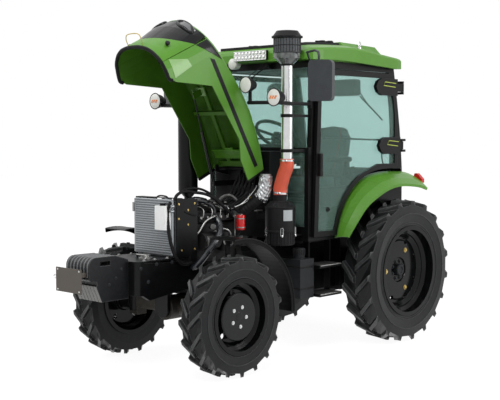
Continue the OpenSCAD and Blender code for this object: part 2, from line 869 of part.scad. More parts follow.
module lift_arms() {
    color("#3a3b3d") {
        rod_x(-lift_x, lift_x, arm_pivot[0], arm_pivot[1], rock_r);
        both_sides() {
            rod_x(lift_x - 18, lift_x + 18, arm_pivot[0], arm_pivot[1], 44);
            bar([lift_x, arm_pivot[0], arm_pivot[1]], [lift_x, arm_tip[0], arm_tip[1]], 18);
            rod_x(lift_x - 18, lift_x + 18, arm_tip[0], arm_tip[1], 26);
            rod_x(lift_x, rod_x0 + rod_t + 2, arm_tip[0], arm_tip[1], pin_r);
        }
    }
}

module lift_rods() {
    x = rod_x0 + rod_t / 2;
    color("#5a5c5f")
        both_sides()
            difference() {
                union() {
                    bar([x, arm_tip[0], arm_tip[1]], [x, rod_foot[0], rod_foot[1]], rod_t / 2);
                    rod_x(rod_x0, rod_x0 + rod_t, arm_tip[0], arm_tip[1], 26);
                    rod_x(rod_x0, rod_x0 + rod_t, rod_foot[0], rod_foot[1], 26);
                }
                rod_x(rod_x0 - 1, rod_x0 + rod_t + 1, arm_tip[0], arm_tip[1], pin_r + fit);
                rod_x(rod_x0 - 1, rod_x0 + rod_t + 1, rod_foot[0], rod_foot[1], pin_r + fit);
            }
}

module lower_links() {
    x0 = link_x - link_half;
    x1 = link_x + link_half;
    color("#3a3b3d")
        both_sides()
            difference() {
                union() {
                    bar([link_x, link_pivot[0], link_pivot[1]], [link_x, link_end[0], link_end[1]],
                        link_half);
                    rod_x(x0, x1, link_pivot[0], link_pivot[1], link_eye_wall);
                    rod_x(x0 - 3, x1 + 3, link_end[0], link_end[1], link_eye_wall);
                    rod_x(rod_x0 - 2, link_x, rod_foot[0], rod_foot[1], pin_r);
                }
                rod_x(x0 - 9, x1 + 9, link_end[0], link_end[1], link_eye_r);
                rod_x(x0 - 9, x1 + 9, link_pivot[0], link_pivot[1], link_pin_r + fit);
            }
}

// Cab
screen_lean = 55;
function pillar_lean(z) = screen_lean * (z - floor_z) / (cab_top - floor_z);
// Front of the leaning part of a front pillar
function pillar_face(z) = cab_y0 + pillar_lean(z);
rear_lean = 140;
rear_foot = rear_z + 828;
// Back of the cab's rear pillar
function rear_edge(z) = cab_y1 - rear_lean * pow(max(0, (z - rear_foot) / (cab_top - rear_foot)), 1.4);
// Rear edge of a door
function door_back(z) = min(rear_edge(z) - pillar_w - gap, hinge_y - 24);
// Heights from z0 to z1 at which the curved rear edge is drawn
function levels(z0, z1) = [for (i = [0 : 5]) mix(z0, z1, i / 5)];

// Inner edge of the rear fender, [y, z] from the back forwards
fender_in = [
    [cab_y1 + 100, rear_z + 806], [cab_y1 - 40, rear_z + 826], [-60, rear_z + 828], [-270, rear_z + 793],
    [-430, rear_z + 708], [-548, rear_z + 594], [-628, rear_z + 450], [-672, rear_z + 312]
];
// Outer edge of the rear fender, [x, y, z]
fender_x1 = rear_track / 2 + rear_tyre_w / 2 - 74;
fender_out = [
    [fender_x1 - 10, cab_y1 + 101, rear_z + 684], [fender_x1 - 2, cab_y1 - 40, rear_z + 715],
    [fender_x1, -10, rear_z + 733], [fender_x1, -175, rear_z + 717],
    [fender_x1 - 3, -330, rear_z + 667], [fender_x1 - 20, -496, rear_z + 572],
    [fender_x1 - 48, -630, rear_z + 412], [fender_x1 - 78, -668, rear_z + 326]
];
arch = smooth(fender_in, 4);

module cab_floor() {
    x = pillar_x;
    wall = 20;
    color("#1a1b1d") {
        slab([
            [cab_y0, floor_z - plate_t], [-470, floor_z - plate_t], [-400, platform_z - plate_t],
            [cab_y1, platform_z - plate_t], [cab_y1, platform_z], [-420, platform_z], [-490, floor_z],
            [cab_y0, floor_z]
        ], -x, x);
        both_sides()
            slab(concat(
                [for (p = arch) if (p[0] <= cab_y1) p],
                [[-672, floor_z - plate_t], [-470, floor_z - plate_t], [-400, platform_z - plate_t],
                    [cab_y1, platform_z - plate_t], [cab_y1, rear_z + 826]]
            ), x - wall, x);
        block(-x, x, cab_y1 - wall, cab_y1, platform_z - 1, rear_z + 850);
        difference() {
            union() {
                block(-x, x, cab_y0, cab_y0 + wall, floor_z - 1, screen_z);
                block(-300, 300, cowl_y, cab_y0, floor_z, screen_z - 30);
            }
            block(-280, 280, cowl_y + 20, cab_y0 + wall + 1, floor_z + 20, screen_z - 50);
            both_sides()
                block(320, x - pillar_d, cab_y0 - 1, cab_y0 + wall + 1, floor_z + 90, screen_z - 40);
        }
        both_sides() {
            slab([
                [cowl_y, hinge[1] - 70], [cowl_y, hinge[1] - 30], [hinge[0] + 26, hinge[1] - 30],
                [hinge[0] + 18, hinge[1]], [hinge[0] - 18, hinge[1]], [hinge[0] - 18, hinge[1] - 40]
            ], 152, 164);
            rod_x(152, 164, hinge[0], hinge[1], 18);
            rod_x(164, 188, hinge[0], hinge[1], 8);
        }
        block(strut_x + 14, strut_x + 24, strut_foot[0] - 18, cowl_y,
            strut_foot[1] - 22, strut_foot[1] + 22);
        rod_x(strut_x - 10, strut_x + 24, strut_foot[0], strut_foot[1], strut_pin_r);
    }
}

module cab_frame() {
    z0 = floor_z;
    top = cab_top;
    foot_y = cab_y0 + 20 + fit;
    color("#1b1c1e")
        both_sides() {
            slab([
                [foot_y, z0], [foot_y + pillar_w, z0], [cab_y0 + pillar_w + screen_lean, top],
                [cab_y0 + screen_lean, top], [pillar_face(screen_z), screen_z + fit],
                [foot_y, screen_z + fit]
            ], pillar_x - pillar_d, pillar_x);
            slab(concat(
                [for (z = levels(rear_z + 851, top)) [rear_edge(z), z]],
                [for (z = levels(top, rear_z + 851)) [door_back(z) - 16, z]]
            ), pillar_x - pillar_d, pillar_x);
            block(pillar_x - pillar_d, pillar_x, cab_y0 + 50, cab_y1 - rear_lean, top - 55, top);
            for (z = door_hinge_z) {
                y0 = hinge_y - 16;
                y1 = max(rear_edge(z) - 12, hinge_y + 12);
                block(pillar_x - 20, hinge_x, y0, y1, z + 36, z + 56);
                block(pillar_x - 20, hinge_x, y0, y1, z - 56, z - 36);
                rod_z(z + 36, z + 56, hinge_x, hinge_y, 16);
                rod_z(z - 56, z - 36, hinge_x, hinge_y, 16);
                rod_z(z - 50, z + 50, hinge_x, hinge_y, 8);
            }
        }
    color("#1b1c1e") {
        block(-pillar_x + pillar_d, pillar_x - pillar_d, cab_y0 + 55, cab_y0 + 105, top - 55, top);
        block(-pillar_x + pillar_d, pillar_x - pillar_d, rear_edge(top) - 50, rear_edge(top), top - 55, top);
    }
}

module cab_glass() {
    x = pillar_x - pillar_d - fit;
    z0 = screen_z + fit;
    z1 = cab_top - 55 - fit;
    y0 = pillar_face(screen_z) + 4;
    back_z = rear_z + 850 + fit;
    color([0.55, 0.78, 0.76, 0.5]) {
        slab([[y0, z0], [y0 + glass_t, z0], [cab_y0 + 60 + glass_t, z1], [cab_y0 + 60, z1]], -x, x);
        slab(concat(
            [for (z = levels(back_z, z1)) [rear_edge(z) - 12, z]],
            [for (z = levels(z1, back_z)) [rear_edge(z) - 12 - glass_t, z]]
        ), -x, x);
        both_sides()
            block(320 + fit, x, cab_y0 + 6, cab_y0 + 6 + glass_t, floor_z + 90 + fit, screen_z - 40 - fit);
    }
}

// Lines of the roof, each as [y, size] from the back to the front
roof_y0 = cab_y0 - roof_nose;
roof_y1 = cab_y1 - 75;
roof_half = [
    [roof_y1, -41], [roof_y1 - 25, -26], [roof_y1 - 95, -14], [-100, -4], [-300, 0], [-500, 0],
    [roof_y0 + 162, -14], [roof_y0 + 62, -36], [roof_y0 + 12, -81], [roof_y0, -126]
];
roof_low = [[roof_y1, -20], [100, -26], [-300, -8], [-500, 2], [-740, 8], [roof_y0 + 62, 2], [roof_y0, 5]];
roof_edge = [
    [roof_y1, 65], [100, 74], [-100, 88], [-300, 110], [-500, 123], [-740, 116], [roof_y0 + 62, 98],
    [roof_y0 + 12, 75], [roof_y0, 55]
];
roof_top = [
    [roof_y1, roof_h - 66], [100, roof_h - 46], [-100, roof_h - 26], [-300, roof_h - 8], [-500, roof_h],
    [-740, roof_h - 8], [roof_y0 + 162, roof_h - 19], [roof_y0 + 62, roof_h - 31],
    [roof_y0 + 12, roof_h - 56], [roof_y0, roof_h - 81]
];
// Raised rear part of the roof
dome_y0 = -449;
dome_y1 = 115;
roof_dome = [[dome_y1, along(roof_top, dome_y1)], [45, roof_h + 21], [dome_y0, roof_h + 34]];
roof_ys = [
    roof_y0, roof_y0 + 12, roof_y0 + 62, roof_y0 + 162, -740, -500, dome_y0 - 7, dome_y0,
    -300, -100, 45, 100, dome_y1, roof_y1 - 25, roof_y1
];

module roof() {
    function loop(y) =
        let (w = pillar_x + roof_side + along(roof_half, y))
        let (lo = along(roof_low, y), ed = along(roof_edge, y), up = along(roof_top, y))
        let (dome = (y < dome_y0 || y > dome_y1) ? up : along(roof_dome, y))
        let (out = [
            [w, lo], [w, ed - 22], [w - 12, ed - 7], [0.935 * w, ed],
            [0.76 * w, up], [0.727 * w, up], [0.67 * w, dome]
        ])
        let (in = [
            [w - 28, lo], [w - 36, fit], [0.9 * w, fit], [0.85 * w, fit],
            [0.76 * w, fit], [0.727 * w, fit], [0.67 * w, fit]
        ])
        let (n = len(out) - 1)
        [
            for (p = concat(
                [for (q = out) [-q[0], q[1]]], [for (i = [n : -1 : 0]) out[i]],
                in, [for (i = [n : -1 : 0]) [-in[i][0], in[i][1]]]
            )) [p[0], y, cab_top + p[1]]
        ];
    color("#5da33a")
        loft([for (y = roof_ys) loop(y)]);
}

module roof_hatch() {
    thick = 23;
    ys = [roof_y0 + 72, roof_y0 + 162, -740, -500, dome_y0 - 21];
    n = len(ys) - 1;
    color("#1b1c1e")
        slab(concat(
            [for (y = ys) [y, cab_top + along(roof_top, y) + fit]],
            [for (i = [n : -1 : 0]) [ys[i], cab_top + along(roof_top, ys[i]) + thick]]
        ), -430, 430);
}

seat_y = -330;
seat_z = platform_z + 170;

module seat() {
    color("#33363a") {
        block(-170, 170, seat_y - 160, seat_y + 180, platform_z + fit, platform_z + 110);
        block(-245, 245, seat_y - 220, seat_y + 230, platform_z + 110, seat_z + 50);
        slab([
            [seat_y + 150, seat_z + 50], [seat_y + 260, seat_z + 50], [seat_y + 400, seat_z + 480],
            [seat_y + 380, seat_z + 520], [seat_y + 330, seat_z + 520], [seat_y + 290, seat_z + 480]
        ], -230, 230);
        both_sides()
            block(246, 300, seat_y - 60, seat_y + 220, seat_z + 190, seat_z + 240);
        both_sides()
            block(230, 262, seat_y + 180, seat_y + 230, seat_z + 60, seat_z + 200);
    }
}

wheel_c = [0, cab_y0 + 260, 1735];
wheel_tilt = 38;
wheel_r = 200;
column_r = 20;

module dashboard() {
    color("#1f2022") {
        slab([
            [cab_y0 + 20 + fit, floor_z + fit], [cab_y0 + 150, floor_z + fit], [cab_y0 + 190, 1420],
            [cab_y0 + 150, 1600], [cab_y0 + 20 + fit, 1610]
        ], -170, 170);
        translate(wheel_c)
            rotate([-wheel_tilt, 0, 0])
                translate([0, 0, -260])
                    cylinder(h = 250, r = column_r);
    }
}

module steering_wheel() {
    color("#151617")
        translate(wheel_c)
            rotate([-wheel_tilt, 0, 0])
                difference() {
                    union() {
                        rotate_extrude($fn = 64)
                            translate([wheel_r, 0])
                                circle(r = 15, $fn = 24);
                        translate([0, 0, -40])
                            cylinder(h = 50, r = 48);
                        for (a = [90, 210, 330])
                            rotate([0, 0, a])
                                translate([40, -14, -12])
                                    cube([wheel_r - 44, 28, 12]);
                    }
                    translate([0, 0, -60])
                        cylinder(h = 51, r = column_r + fit);
                }
}

// Doors, hinged at their rear edge
door_hinge_z = [1655, 2148];
arch_gap = 26;
door_arch = [
    for (p = arch)
        if (p[0] < 120 && p[1] > floor_z + 40)
            p + arch_gap * (p - [0, rear_z]) / norm(p - [0, rear_z])
];

module door_frame_shape() {
    z0 = floor_z + 8;
    z1 = cab_top - 66;
    polygon(concat(
        [[cab_y0 + 28, z0], [cab_y0 + 28 + pillar_lean(z1), z1]],
        [for (z = levels(z1, door_arch[0][1] + 20)) [door_back(z), z]],
        door_arch,
        [[door_arch[len(door_arch) - 1][0] - 8, z0]]
    ));
}

module door_window_shape() {
    k = door_rim;
    z0 = floor_z + 8 + k;
    z1 = cab_top - 66 - k;
    inner = [for (p = door_arch) if (p[1] < 1400) p + [-0.9 * k, 0.6 * k]];
    polygon(concat(
        [[cab_y0 + 34 + k, z0], [cab_y0 + 28 + pillar_lean(z1) + k, z1]],
        [for (z = levels(z1, door_arch[0][1] + k)) [door_back(z) - k, z]],
        [[-130, door_arch[0][1] + k]],
        inner,
        [[inner[len(inner) - 1][0] - 8, z0]]
    ));
}

module door(side) {
    x = door_x + door_t;
    cover = [[-335, 0], [-310, 45], [-255, 71], [-30, 71], [-30, -71], [-255, -71], [-310, -45]];
    color("#1a1b1d")
        mirror([side < 0 ? 1 : 0, 0, 0])
            difference() {
                union() {
                    translate([door_x, 0, 0])
                        rotate([90, 0, 90])
                            linear_extrude(door_t)
                                difference() {
                                    door_frame_shape();
                                    door_window_shape();
                                }
                    for (z = door_hinge_z) {
                        slab([for (p = cover) p + [door_back(z) + 24, z]], x, hinge_x + 10);
                        block(hinge_x - 14, hinge_x + 10, door_back(z) - 30, hinge_y, z - 34, z + 34);
                        rod_z(z - 34, z + 34, hinge_x, hinge_y, 16);
                    }
                    block(x, x + 34, cab_y0 + 62, cab_y0 + 92, 1420, 1600);
                }
                for (z = door_hinge_z)
                    rod_z(z - 40, z + 40, hinge_x, hinge_y, 8 + fit);
            }
}

module door_glass(side) {
    color([0.55, 0.78, 0.76, 0.5])
        mirror([side < 0 ? 1 : 0, 0, 0])
            translate([door_x + door_t / 2 - glass_t / 2, 0, 0])
                rotate([90, 0, 90])
                    linear_extrude(glass_t)
                        door_window_shape();
}

// Outside of the cab
fender_x0 = pillar_x + fit;
fender_t = 10;
fender_lip = 22;

module rear_fenders() {
    in_line = smooth(fender_in, 4);
    out_line = smooth(fender_out, 4);
    bulge = 14;
    loops = [
        for (k = [len(in_line) - 1 : -1 : 0])
            let (p = [fender_x0, in_line[k][0], in_line[k][1]], q = out_line[k])
            let (m = mix(p, q, 0.5) - [0, 0, rear_z], n = -[0, m[1], m[2]] / norm([m[1], m[2]]))
            let (c = mix(p, q, 0.33) - n * bulge, e = mix(p, q, 0.68) - n * bulge, side = [fender_t, 0, 0])
            [p, c, e, q, q + n * fender_lip, q + n * fender_lip - side, q + n * fender_t - side,
                e + n * fender_t, c + n * fender_t, p + n * fender_t]
    ];
    color("#5da33a")
        both_sides()
            loft(loops);
}

module tail_lamps() {
    y0 = cab_y1 + 107 + fit;
    z = rear_z + 700;
    color("#b3161b")
        both_sides()
            translate([fender_x0, y0, z])
                rotate([90, 0, 0])
                    mirror([0, 0, 1])
                        linear_extrude(38)
                            polygon([[50, 78], [60, 106], [85, 106], [136, 58], [136, 24], [74, 24]]);
}

mirror_c = [828, cab_y0 - 190, 2150];
mirror_size = [190, 305];
mirror_turn = 20;

module mirrors() {
    c = mirror_c;
    r = 34;
    w = mirror_size[0] / 2 - r;
    h = mirror_size[1] / 2 - r;
    foot_y = pillar_face(cab_top - 120);
    foot = [pillar_x - 22, foot_y - 12, cab_top - 90];
    neck = [c[0] - 24, c[1], c[2] + h];
    arm = [
        neck, neck + [0, 0, 70], neck + [-12, 4, 98], neck + [-50, 14, 112], neck + [-150, 40, 104],
        foot + [40, -40, 66], foot + [6, -36, 10], foot + [0, -30, 0], foot
    ];
    color("#2d2f32")
        both_sides() {
            translate(c)
                rotate([90, 0, mirror_turn])
                    translate([0, 0, -32])
                        linear_extrude(64)
                            polygon(concat(
                                arc([w, h], r, 0, 90, 6), arc([-w, h], r, 90, 180, 6),
                                arc([-w, -h], r, 180, 270, 6), arc([w, -h], r, 270, 360, 6)
                            ));
            tube(arm, 9, 10);
            block(pillar_x - 40, pillar_x - 4, foot_y - 24, foot_y - fit, cab_top - 120, cab_top - 60);
        }
}

lamp_y = cab_y0 - 480;
lamp_z = 1985;

// A round lamp looking forward from [x, z]
module round_lamp(x, z, r) {
    translate([x, lamp_y + 10, z])
        rotate([90, 0, 0])
            cylinder(h = 60, r1 = 0.75 * r, r2 = r);
}

module work_lamps() {
    face = pillar_face(lamp_z - 30);
    inner = [370, lamp_z + 137];
    outer = [655, lamp_z + 37];
    color("#1d1e20") {
        both_sides() {
            block(pillar_x - 40, pillar_x - 4, face - 14, face - fit, lamp_z - 30, lamp_z + 30);
            bar([pillar_x - 22, face - 8, lamp_z], [pillar_x + 70, lamp_y, lamp_z], 14);
            bar([outer[0] + 5, lamp_y, lamp_z], [inner[0] - 20, lamp_y, lamp_z + 4], 14);
            round_lamp(outer[0], outer[1], 66);
            round_lamp(inner[0], inner[1], 62);
            rod_z(lamp_z, inner[1] - 20, inner[0], lamp_y, 14);
        }
        block(-178, 178, roof_y0 - 28, roof_y0 - fit, cab_top + 16, cab_top + 90);
    }
}

module steps() {
    x0 = pillar_x - 120;
    x1 = pillar_x + 56;
    y0 = cab_y0 + 75;
    y1 = -645;
    color("#18191b")
        both_sides() {
            for (y = [y0, y1 - 12])
                slab([
                    [y, floor_z - plate_t - fit], [y + 12, floor_z - plate_t - fit], [y + 12, 460], [y, 460]
                ], x0, x0 + 60);
            block(x0, x1, y0, y1, 690, 712);
            block(x0, x1, y0, y1, 460, 482);
        }
}

module side_boxes() {
    color("#3d4043") {
        block(frame_x + 90, pillar_x + 6, cab_y0 - 105, cab_y0 + 60, 460, 770);
        block(-pillar_x - 6, -frame_x - 90, cab_y0 - 105, cab_y0 + 60, 460, 770);
        both_sides() {
            block(140, frame_x + 90, cab_y0 - 20, cab_y0 + 60, 560, 600);
            rod_z(770, 850, frame_x + 250, cab_y0 - 20, 46);
        }
    }
}

// Hood, drawn shut and tipped about its hinge
module hood_pose() {
    translate([0, hinge[0], hinge[1]])
        rotate([-hood_angle, 0, 0])
            translate([0, -hinge[0], -hinge[1]])
                children();
}

hood_y1 = hinge[0] + 48;
// Half the length of the pad that carries the hood at its hinge
pad_half = 20;
// Middle line of the hood's top, from the back to the nose
hood_top = smooth([
    [hood_y1, hinge[1] + 106], [hinge[0] - 110, hinge[1] + 138], [hinge[0] - 380, hinge[1] + 148],
    [hinge[0] - 594, hinge[1] + 121], [hinge[0] - 810, hinge[1] + 74], [nose_y + 238, hinge[1] + 12],
    [nose_y + 92, hinge[1] - 42], [nose_y, hinge[1] - 95]
], 3);
// Where the hood's sides end and the nose begins
seam_y = nose_y + 172;
// Lower edge of the hood's sides
hood_low = [
    [hood_y1, hinge[1] - 126], [hinge[0] - 130, hinge[1] - 136], [hinge[0] - 275, hinge[1] - 86],
    [hinge[0] - 760, hinge[1] - 190], [hinge[0] - 920, hinge[1] - 510], [hinge[0] - 970, hinge[1] - 560],
    [seam_y, hinge[1] - 560]
];
hood_ys = [
    seam_y, seam_y + 60, hinge[0] - 970, hinge[0] - 920, hinge[0] - 840, hinge[0] - 760, hinge[0] - 590,
    hinge[0] - 420, hinge[0] - 275, hinge[0] - 130, hinge[0] - pad_half, hinge[0] + pad_half, hood_y1
];
// The nose is rounded in plan from here on
nose_len = 312;
round_y = nose_y + nose_len;
function sgn_pow(v, e) = sign(v) * pow(abs(v), e);
function hood_half(y) =
    let (reach = 285 + 27 * min(1, max(0, (round_y - 100 - y) / 150)))
    hood_x * pow(1 - pow(max(0, (round_y - y) / reach), 2.2), 0.385);
function hood_crown(y) = 62 + 110 * pow(max(0, (hinge[0] - 500 - y) / (hood_len - 512)), 1.5);
// The hood's section, cut off some way below its top when a cut is given
function hood_arch(y, inset, cut = 0, n = 18) =
    let (w = hood_half(y) - inset, zc = along(hood_top, y) - inset, h = hood_crown(y))
    let (a0 = cut == 0 ? 0 : asin(pow((h - cut) / h, 1 / 0.55)))
    [
        for (k = [0 : n])
            let (a = 180 - a0 - (180 - 2 * a0) * k / n)
            [w * sgn_pow(cos(a), 0.55), y, zc - h + h * pow(sin(a), 0.55)]
    ];
function hood_loop(y, low, cut = 0) =
    let (out = hood_arch(y, 0, cut), in = hood_arch(y, hood_t, cut), n = len(out) - 1)
    concat(
        [[out[0][0], y, low]], out, [[out[n][0], y, low], [in[n][0], y, low]],
        [for (k = [n : -1 : 0]) in[k]], [[in[0][0], y, low]]
    );

module hood() {
    color("#5da33a")
        hood_pose()
            loft([for (y = hood_ys) hood_loop(y, along(hood_low, y))]);
}

// Depth of the nose's visor below the top line
visor = [[seam_y, 50], [nose_y + 62, 50], [nose_y, 18]];
function visor_low(y) = along(hood_top, y) - along(visor, y) - 6 - hood_t;
// A point of the nose's plan curve at turn a, the nose reaching out by reach
function nose_plan(reach, inset, a) = [
    (hood_x - inset) * sgn_pow(cos(a), 0.77),
    min(seam_y - fit, round_y - (reach - inset) * pow(sin(a), 0.91))
];
nose_a0 = 28.5;
nose_as = [for (i = [0 : 24]) mix(nose_a0, 180 - nose_a0, i / 24)];
// Top edge of the chin, rising towards the seam
function chin_top(y) = min(hinge[1] - 200, hinge[1] - 420 + 1.517 * (y - nose_y - 27));

// Stations of a curved band: rows of [reach, height], outside up and inside down
function at_plan(p, z) = [p[0], p[1], z];
module nose_band(as, inset, rows) {
    loft([
        for (i = [0 : len(as) - 1])
            concat(
                [for (r = rows[i]) at_plan(nose_plan(r[0], 0, as[i]), r[1])],
                [for (k = [len(rows[i]) - 1 : -1 : 0])
                    at_plan(nose_plan(rows[i][k][0], inset, as[i]), rows[i][k][1])]
            )
    ]);
}

module hood_nose() {
    visor_ys = [nose_y + 4, nose_y + 18, nose_y + 38, nose_y + 68, nose_y + 102, nose_y + 138, seam_y - fit];
    low = hinge[1] - 560;
    color("#5da33a")
        hood_pose() {
            loft([for (y = visor_ys) hood_loop(y, visor_low(y), along(visor, y))]);
            nose_band(nose_as, 10, [
                for (a = nose_as)
                    [[275, low], [283, low + 55], [285, chin_top(nose_plan(285, 0, a)[1])]]
            ]);
        }
}

module hood_frame() {
    xr = hood_x - hood_t - 24;
    y = hinge[0];
    z = hinge[1];
    function pad_z(d) = along(hood_top, y + d) - hood_t - 2 * fit;
    color("#2f5a1d")
        hood_pose()
            difference() {
                union() {
                    both_sides() {
                        block(170, 182, y - 16, y + 14, z, z + 62);
                        rod_x(170, 182, y, z, 18);
                    }
                    block(-190, 190, y - pad_half, y + pad_half, z + 62, z + 84);
                    slab([
                        [y + pad_half, z + 62], [y + pad_half, pad_z(pad_half)],
                        [y - pad_half, pad_z(-pad_half)], [y - pad_half, z + 62]
                    ], -60, 60);
                    slab([
                        [y + pad_half, z + 62], [y + pad_half, z + 84], [y - 800, z + 40], [y - 800, z + 16]
                    ], strut_x + 10, strut_x + 46);
                    block(-xr, xr, y - 470, y - 440, z + 14, z + 42);
                    block(-xr, xr, y - 800, y - 770, z - 8, z + 20);
                    block(strut_x + 10, strut_x + 18, strut_head[0] - 24, strut_head[0] + 24,
                        strut_head[1] - 20, z + 30);
                }
                both_sides()
                    rod_x(160, 200, y, z, 8 + fit);
            }
}

module hood_grille() {
    color("#1a1b1d")
        hood_pose()
            nose_band(nose_as, 14, [
                for (a = nose_as)
                    let (z0 = chin_top(nose_plan(285, 0, a)[1]) + 2.5 * fit)
                    let (z1 = visor_low(nose_plan(nose_len, 0, a)[1]) - 2)
                    [[285, z0], [302, mix(z0, z1, 0.35)], [nose_len, mix(z0, z1, 0.6)], [nose_len, z1]]
            ]);
}

module head_lamps() {
    low = hinge[1] - 176;
    as = [for (i = [3 : 8]) nose_as[i]];
    color("#d8dcde")
        hood_pose()
            both_sides()
                loft([
                    for (a = as)
                        let (p = nose_plan(nose_len + 9, 0, a), q = nose_plan(nose_len + fit, 0, a))
                        [at_plan(p, low), at_plan(p, low + 50), at_plan(q, low + 50), at_plan(q, low)]
                ]);
}

// Gas strut between the cowl and the hood
strut_x = -96;
strut_foot = [hinge[0] - 100, hinge[1] - 130];
strut_head = [hinge[0] - 641, hinge[1] - 60];
function hood_turn(p) = [
    hinge[0] + (p[0] - hinge[0]) * cos(hood_angle) + (p[1] - hinge[1]) * sin(hood_angle),
    hinge[1] - (p[0] - hinge[0]) * sin(hood_angle) + (p[1] - hinge[1]) * cos(hood_angle)
];
strut_tip = hood_turn(strut_head);
strut_dir = (strut_tip - strut_foot) / norm(strut_tip - strut_foot);

strut_pin_r = 7;
strut_tube_len = 430;
strut_rod_r = 6;

module strut_tube() {
    e = strut_foot + strut_tube_len * strut_dir;
    i = strut_foot + 0.49 * strut_tube_len * strut_dir;
    color("#141416")
        difference() {
            union() {
                bar([strut_x, strut_foot[0], strut_foot[1]], [strut_x, e[0], e[1]], 12);
                rod_x(strut_x - 8, strut_x + 8, strut_foot[0], strut_foot[1], 16);
            }
            bar([strut_x, i[0], i[1]], [strut_x, e[0] + strut_dir[0], e[1] + strut_dir[1]],
                strut_rod_r + fit);
            rod_x(strut_x - 20, strut_x + 20, strut_foot[0], strut_foot[1], strut_pin_r + fit);
        }
}

module strut_rod() {
    i = strut_foot + (strut_tube_len - 24) * strut_dir;
    color("#7d8184") {
        bar([strut_x, i[0], i[1]], [strut_x, strut_tip[0], strut_tip[1]], strut_rod_r);
        rod_x(strut_x - 8, strut_x + 8, strut_tip[0], strut_tip[1], 14);
    }
}

placed() at_rear_wheel(1) rear_tyre();  // rear_tyre_left
placed() at_rear_wheel(-1) rear_tyre();  // rear_tyre_right
placed() at_rear_wheel(1) rear_rim();  // rear_rim_left
placed() at_rear_wheel(-1) rear_rim();  // rear_rim_right
placed() at_front_wheel(1) front_tyre();  // front_tyre_left
placed() at_front_wheel(-1) front_tyre();  // front_tyre_right
placed() at_front_wheel(1) front_rim();  // front_rim_left
placed() at_front_wheel(-1) front_rim();  // front_rim_right
placed() knuckle(1);  // knuckle_left
placed() knuckle(-1);  // knuckle_right
placed() mudguard(1);  // mudguard_left
placed() mudguard(-1);  // mudguard_right
placed() tie_rod();
placed() front_axle();
placed() front_frame();
placed() front_weights();
placed() front_plate();
placed() engine();
placed() fan();
placed() radiator();
placed() radiator_shroud();
placed() radiator_hoses();
placed() coolant_bottle();
placed() air_cleaner();
placed() intake_hose();
placed() intake_pipe();
placed() pre_cleaner();
placed() foil_duct();
placed() exhaust();
placed() gearbox();
placed() rear_axle();
placed() drawbar();
placed() lift_arms();
placed() lift_rods();
placed() lower_links();
placed() cab_floor();
placed() cab_frame();
placed() cab_glass();
placed() roof();
placed() roof_hatch();
placed() seat();
placed() dashboard();
placed() steering_wheel();
placed() door(1);  // door_left
placed() door_glass(1);  // door_glass_left
placed() door(-1);  // door_right
placed() door_glass(-1);  // door_glass_right
placed() rear_fenders();
placed() tail_lamps();
placed() mirrors();
placed() work_lamps();
placed() steps();
placed() side_boxes();
placed() hood();
placed() hood_nose();
placed() hood_frame();
placed() hood_grille();
placed() head_lamps();
placed() strut_tube();
placed() strut_rod();
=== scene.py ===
"""Looks of a four-wheel-drive farm tractor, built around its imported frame. Metres, +Z up, front along -Y."""
import json
from math import atan2, cos, hypot, pi, radians, sin

import bmesh
import bpy
from mathutils import Matrix, Vector
from mathutils.bvhtree import BVHTree


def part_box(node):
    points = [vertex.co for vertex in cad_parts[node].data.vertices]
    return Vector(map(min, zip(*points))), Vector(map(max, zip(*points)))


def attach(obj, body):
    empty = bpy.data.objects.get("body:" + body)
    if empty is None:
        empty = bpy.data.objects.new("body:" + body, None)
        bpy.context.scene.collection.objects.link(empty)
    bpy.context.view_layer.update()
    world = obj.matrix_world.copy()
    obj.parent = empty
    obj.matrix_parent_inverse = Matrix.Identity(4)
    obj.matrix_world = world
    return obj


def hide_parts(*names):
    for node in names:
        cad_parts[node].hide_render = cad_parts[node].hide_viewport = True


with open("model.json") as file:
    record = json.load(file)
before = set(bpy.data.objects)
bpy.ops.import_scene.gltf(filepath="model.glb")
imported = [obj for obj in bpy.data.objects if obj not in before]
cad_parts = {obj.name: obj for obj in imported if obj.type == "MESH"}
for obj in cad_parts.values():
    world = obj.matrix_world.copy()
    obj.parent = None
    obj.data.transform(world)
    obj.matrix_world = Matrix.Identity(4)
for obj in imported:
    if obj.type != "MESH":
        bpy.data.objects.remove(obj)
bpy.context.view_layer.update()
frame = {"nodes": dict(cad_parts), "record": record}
NODES = frame["nodes"]

# Distance from the rear axle to the frame's origin, along the tractor
SHIFT = 0.5 * (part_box("rear_rim_left")[0].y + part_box("rear_rim_left")[1].y)
SIDES = (("left", 1), ("right", -1))
ACROSS = Vector((1, 0, 0))
ASTERN = Vector((0, 1, 0))
AHEAD = Vector((0, -1, 0))
UP = Vector((0, 0, 1))
DOWN = Vector((0, 0, -1))


def at(x, y, z):
    """A point given from the rear axle, in the frame."""
    return Vector((x, y + SHIFT, z))


def route(points):
    """Points given from the rear axle, in the frame."""
    return [at(*point) for point in points]


# Materials
def put(node, values):
    """Sets plain values on a node's inputs."""
    for name, value in values.items():
        node.inputs[name].default_value = value


def make(tree, kind, values, sources):
    """A new node in a tree, with plain values and sources for its inputs."""
    node = tree.nodes.new("ShaderNode" + kind)
    put(node, values)
    for name, source in sources.items():
        tree.links.new(source, node.inputs[name])
    return node


def blank(name):
    """A new material, its node tree and its shader."""
    mat = bpy.data.materials.new(name)
    mat.use_nodes = True
    return mat, mat.node_tree, mat.node_tree.nodes["Principled BSDF"]


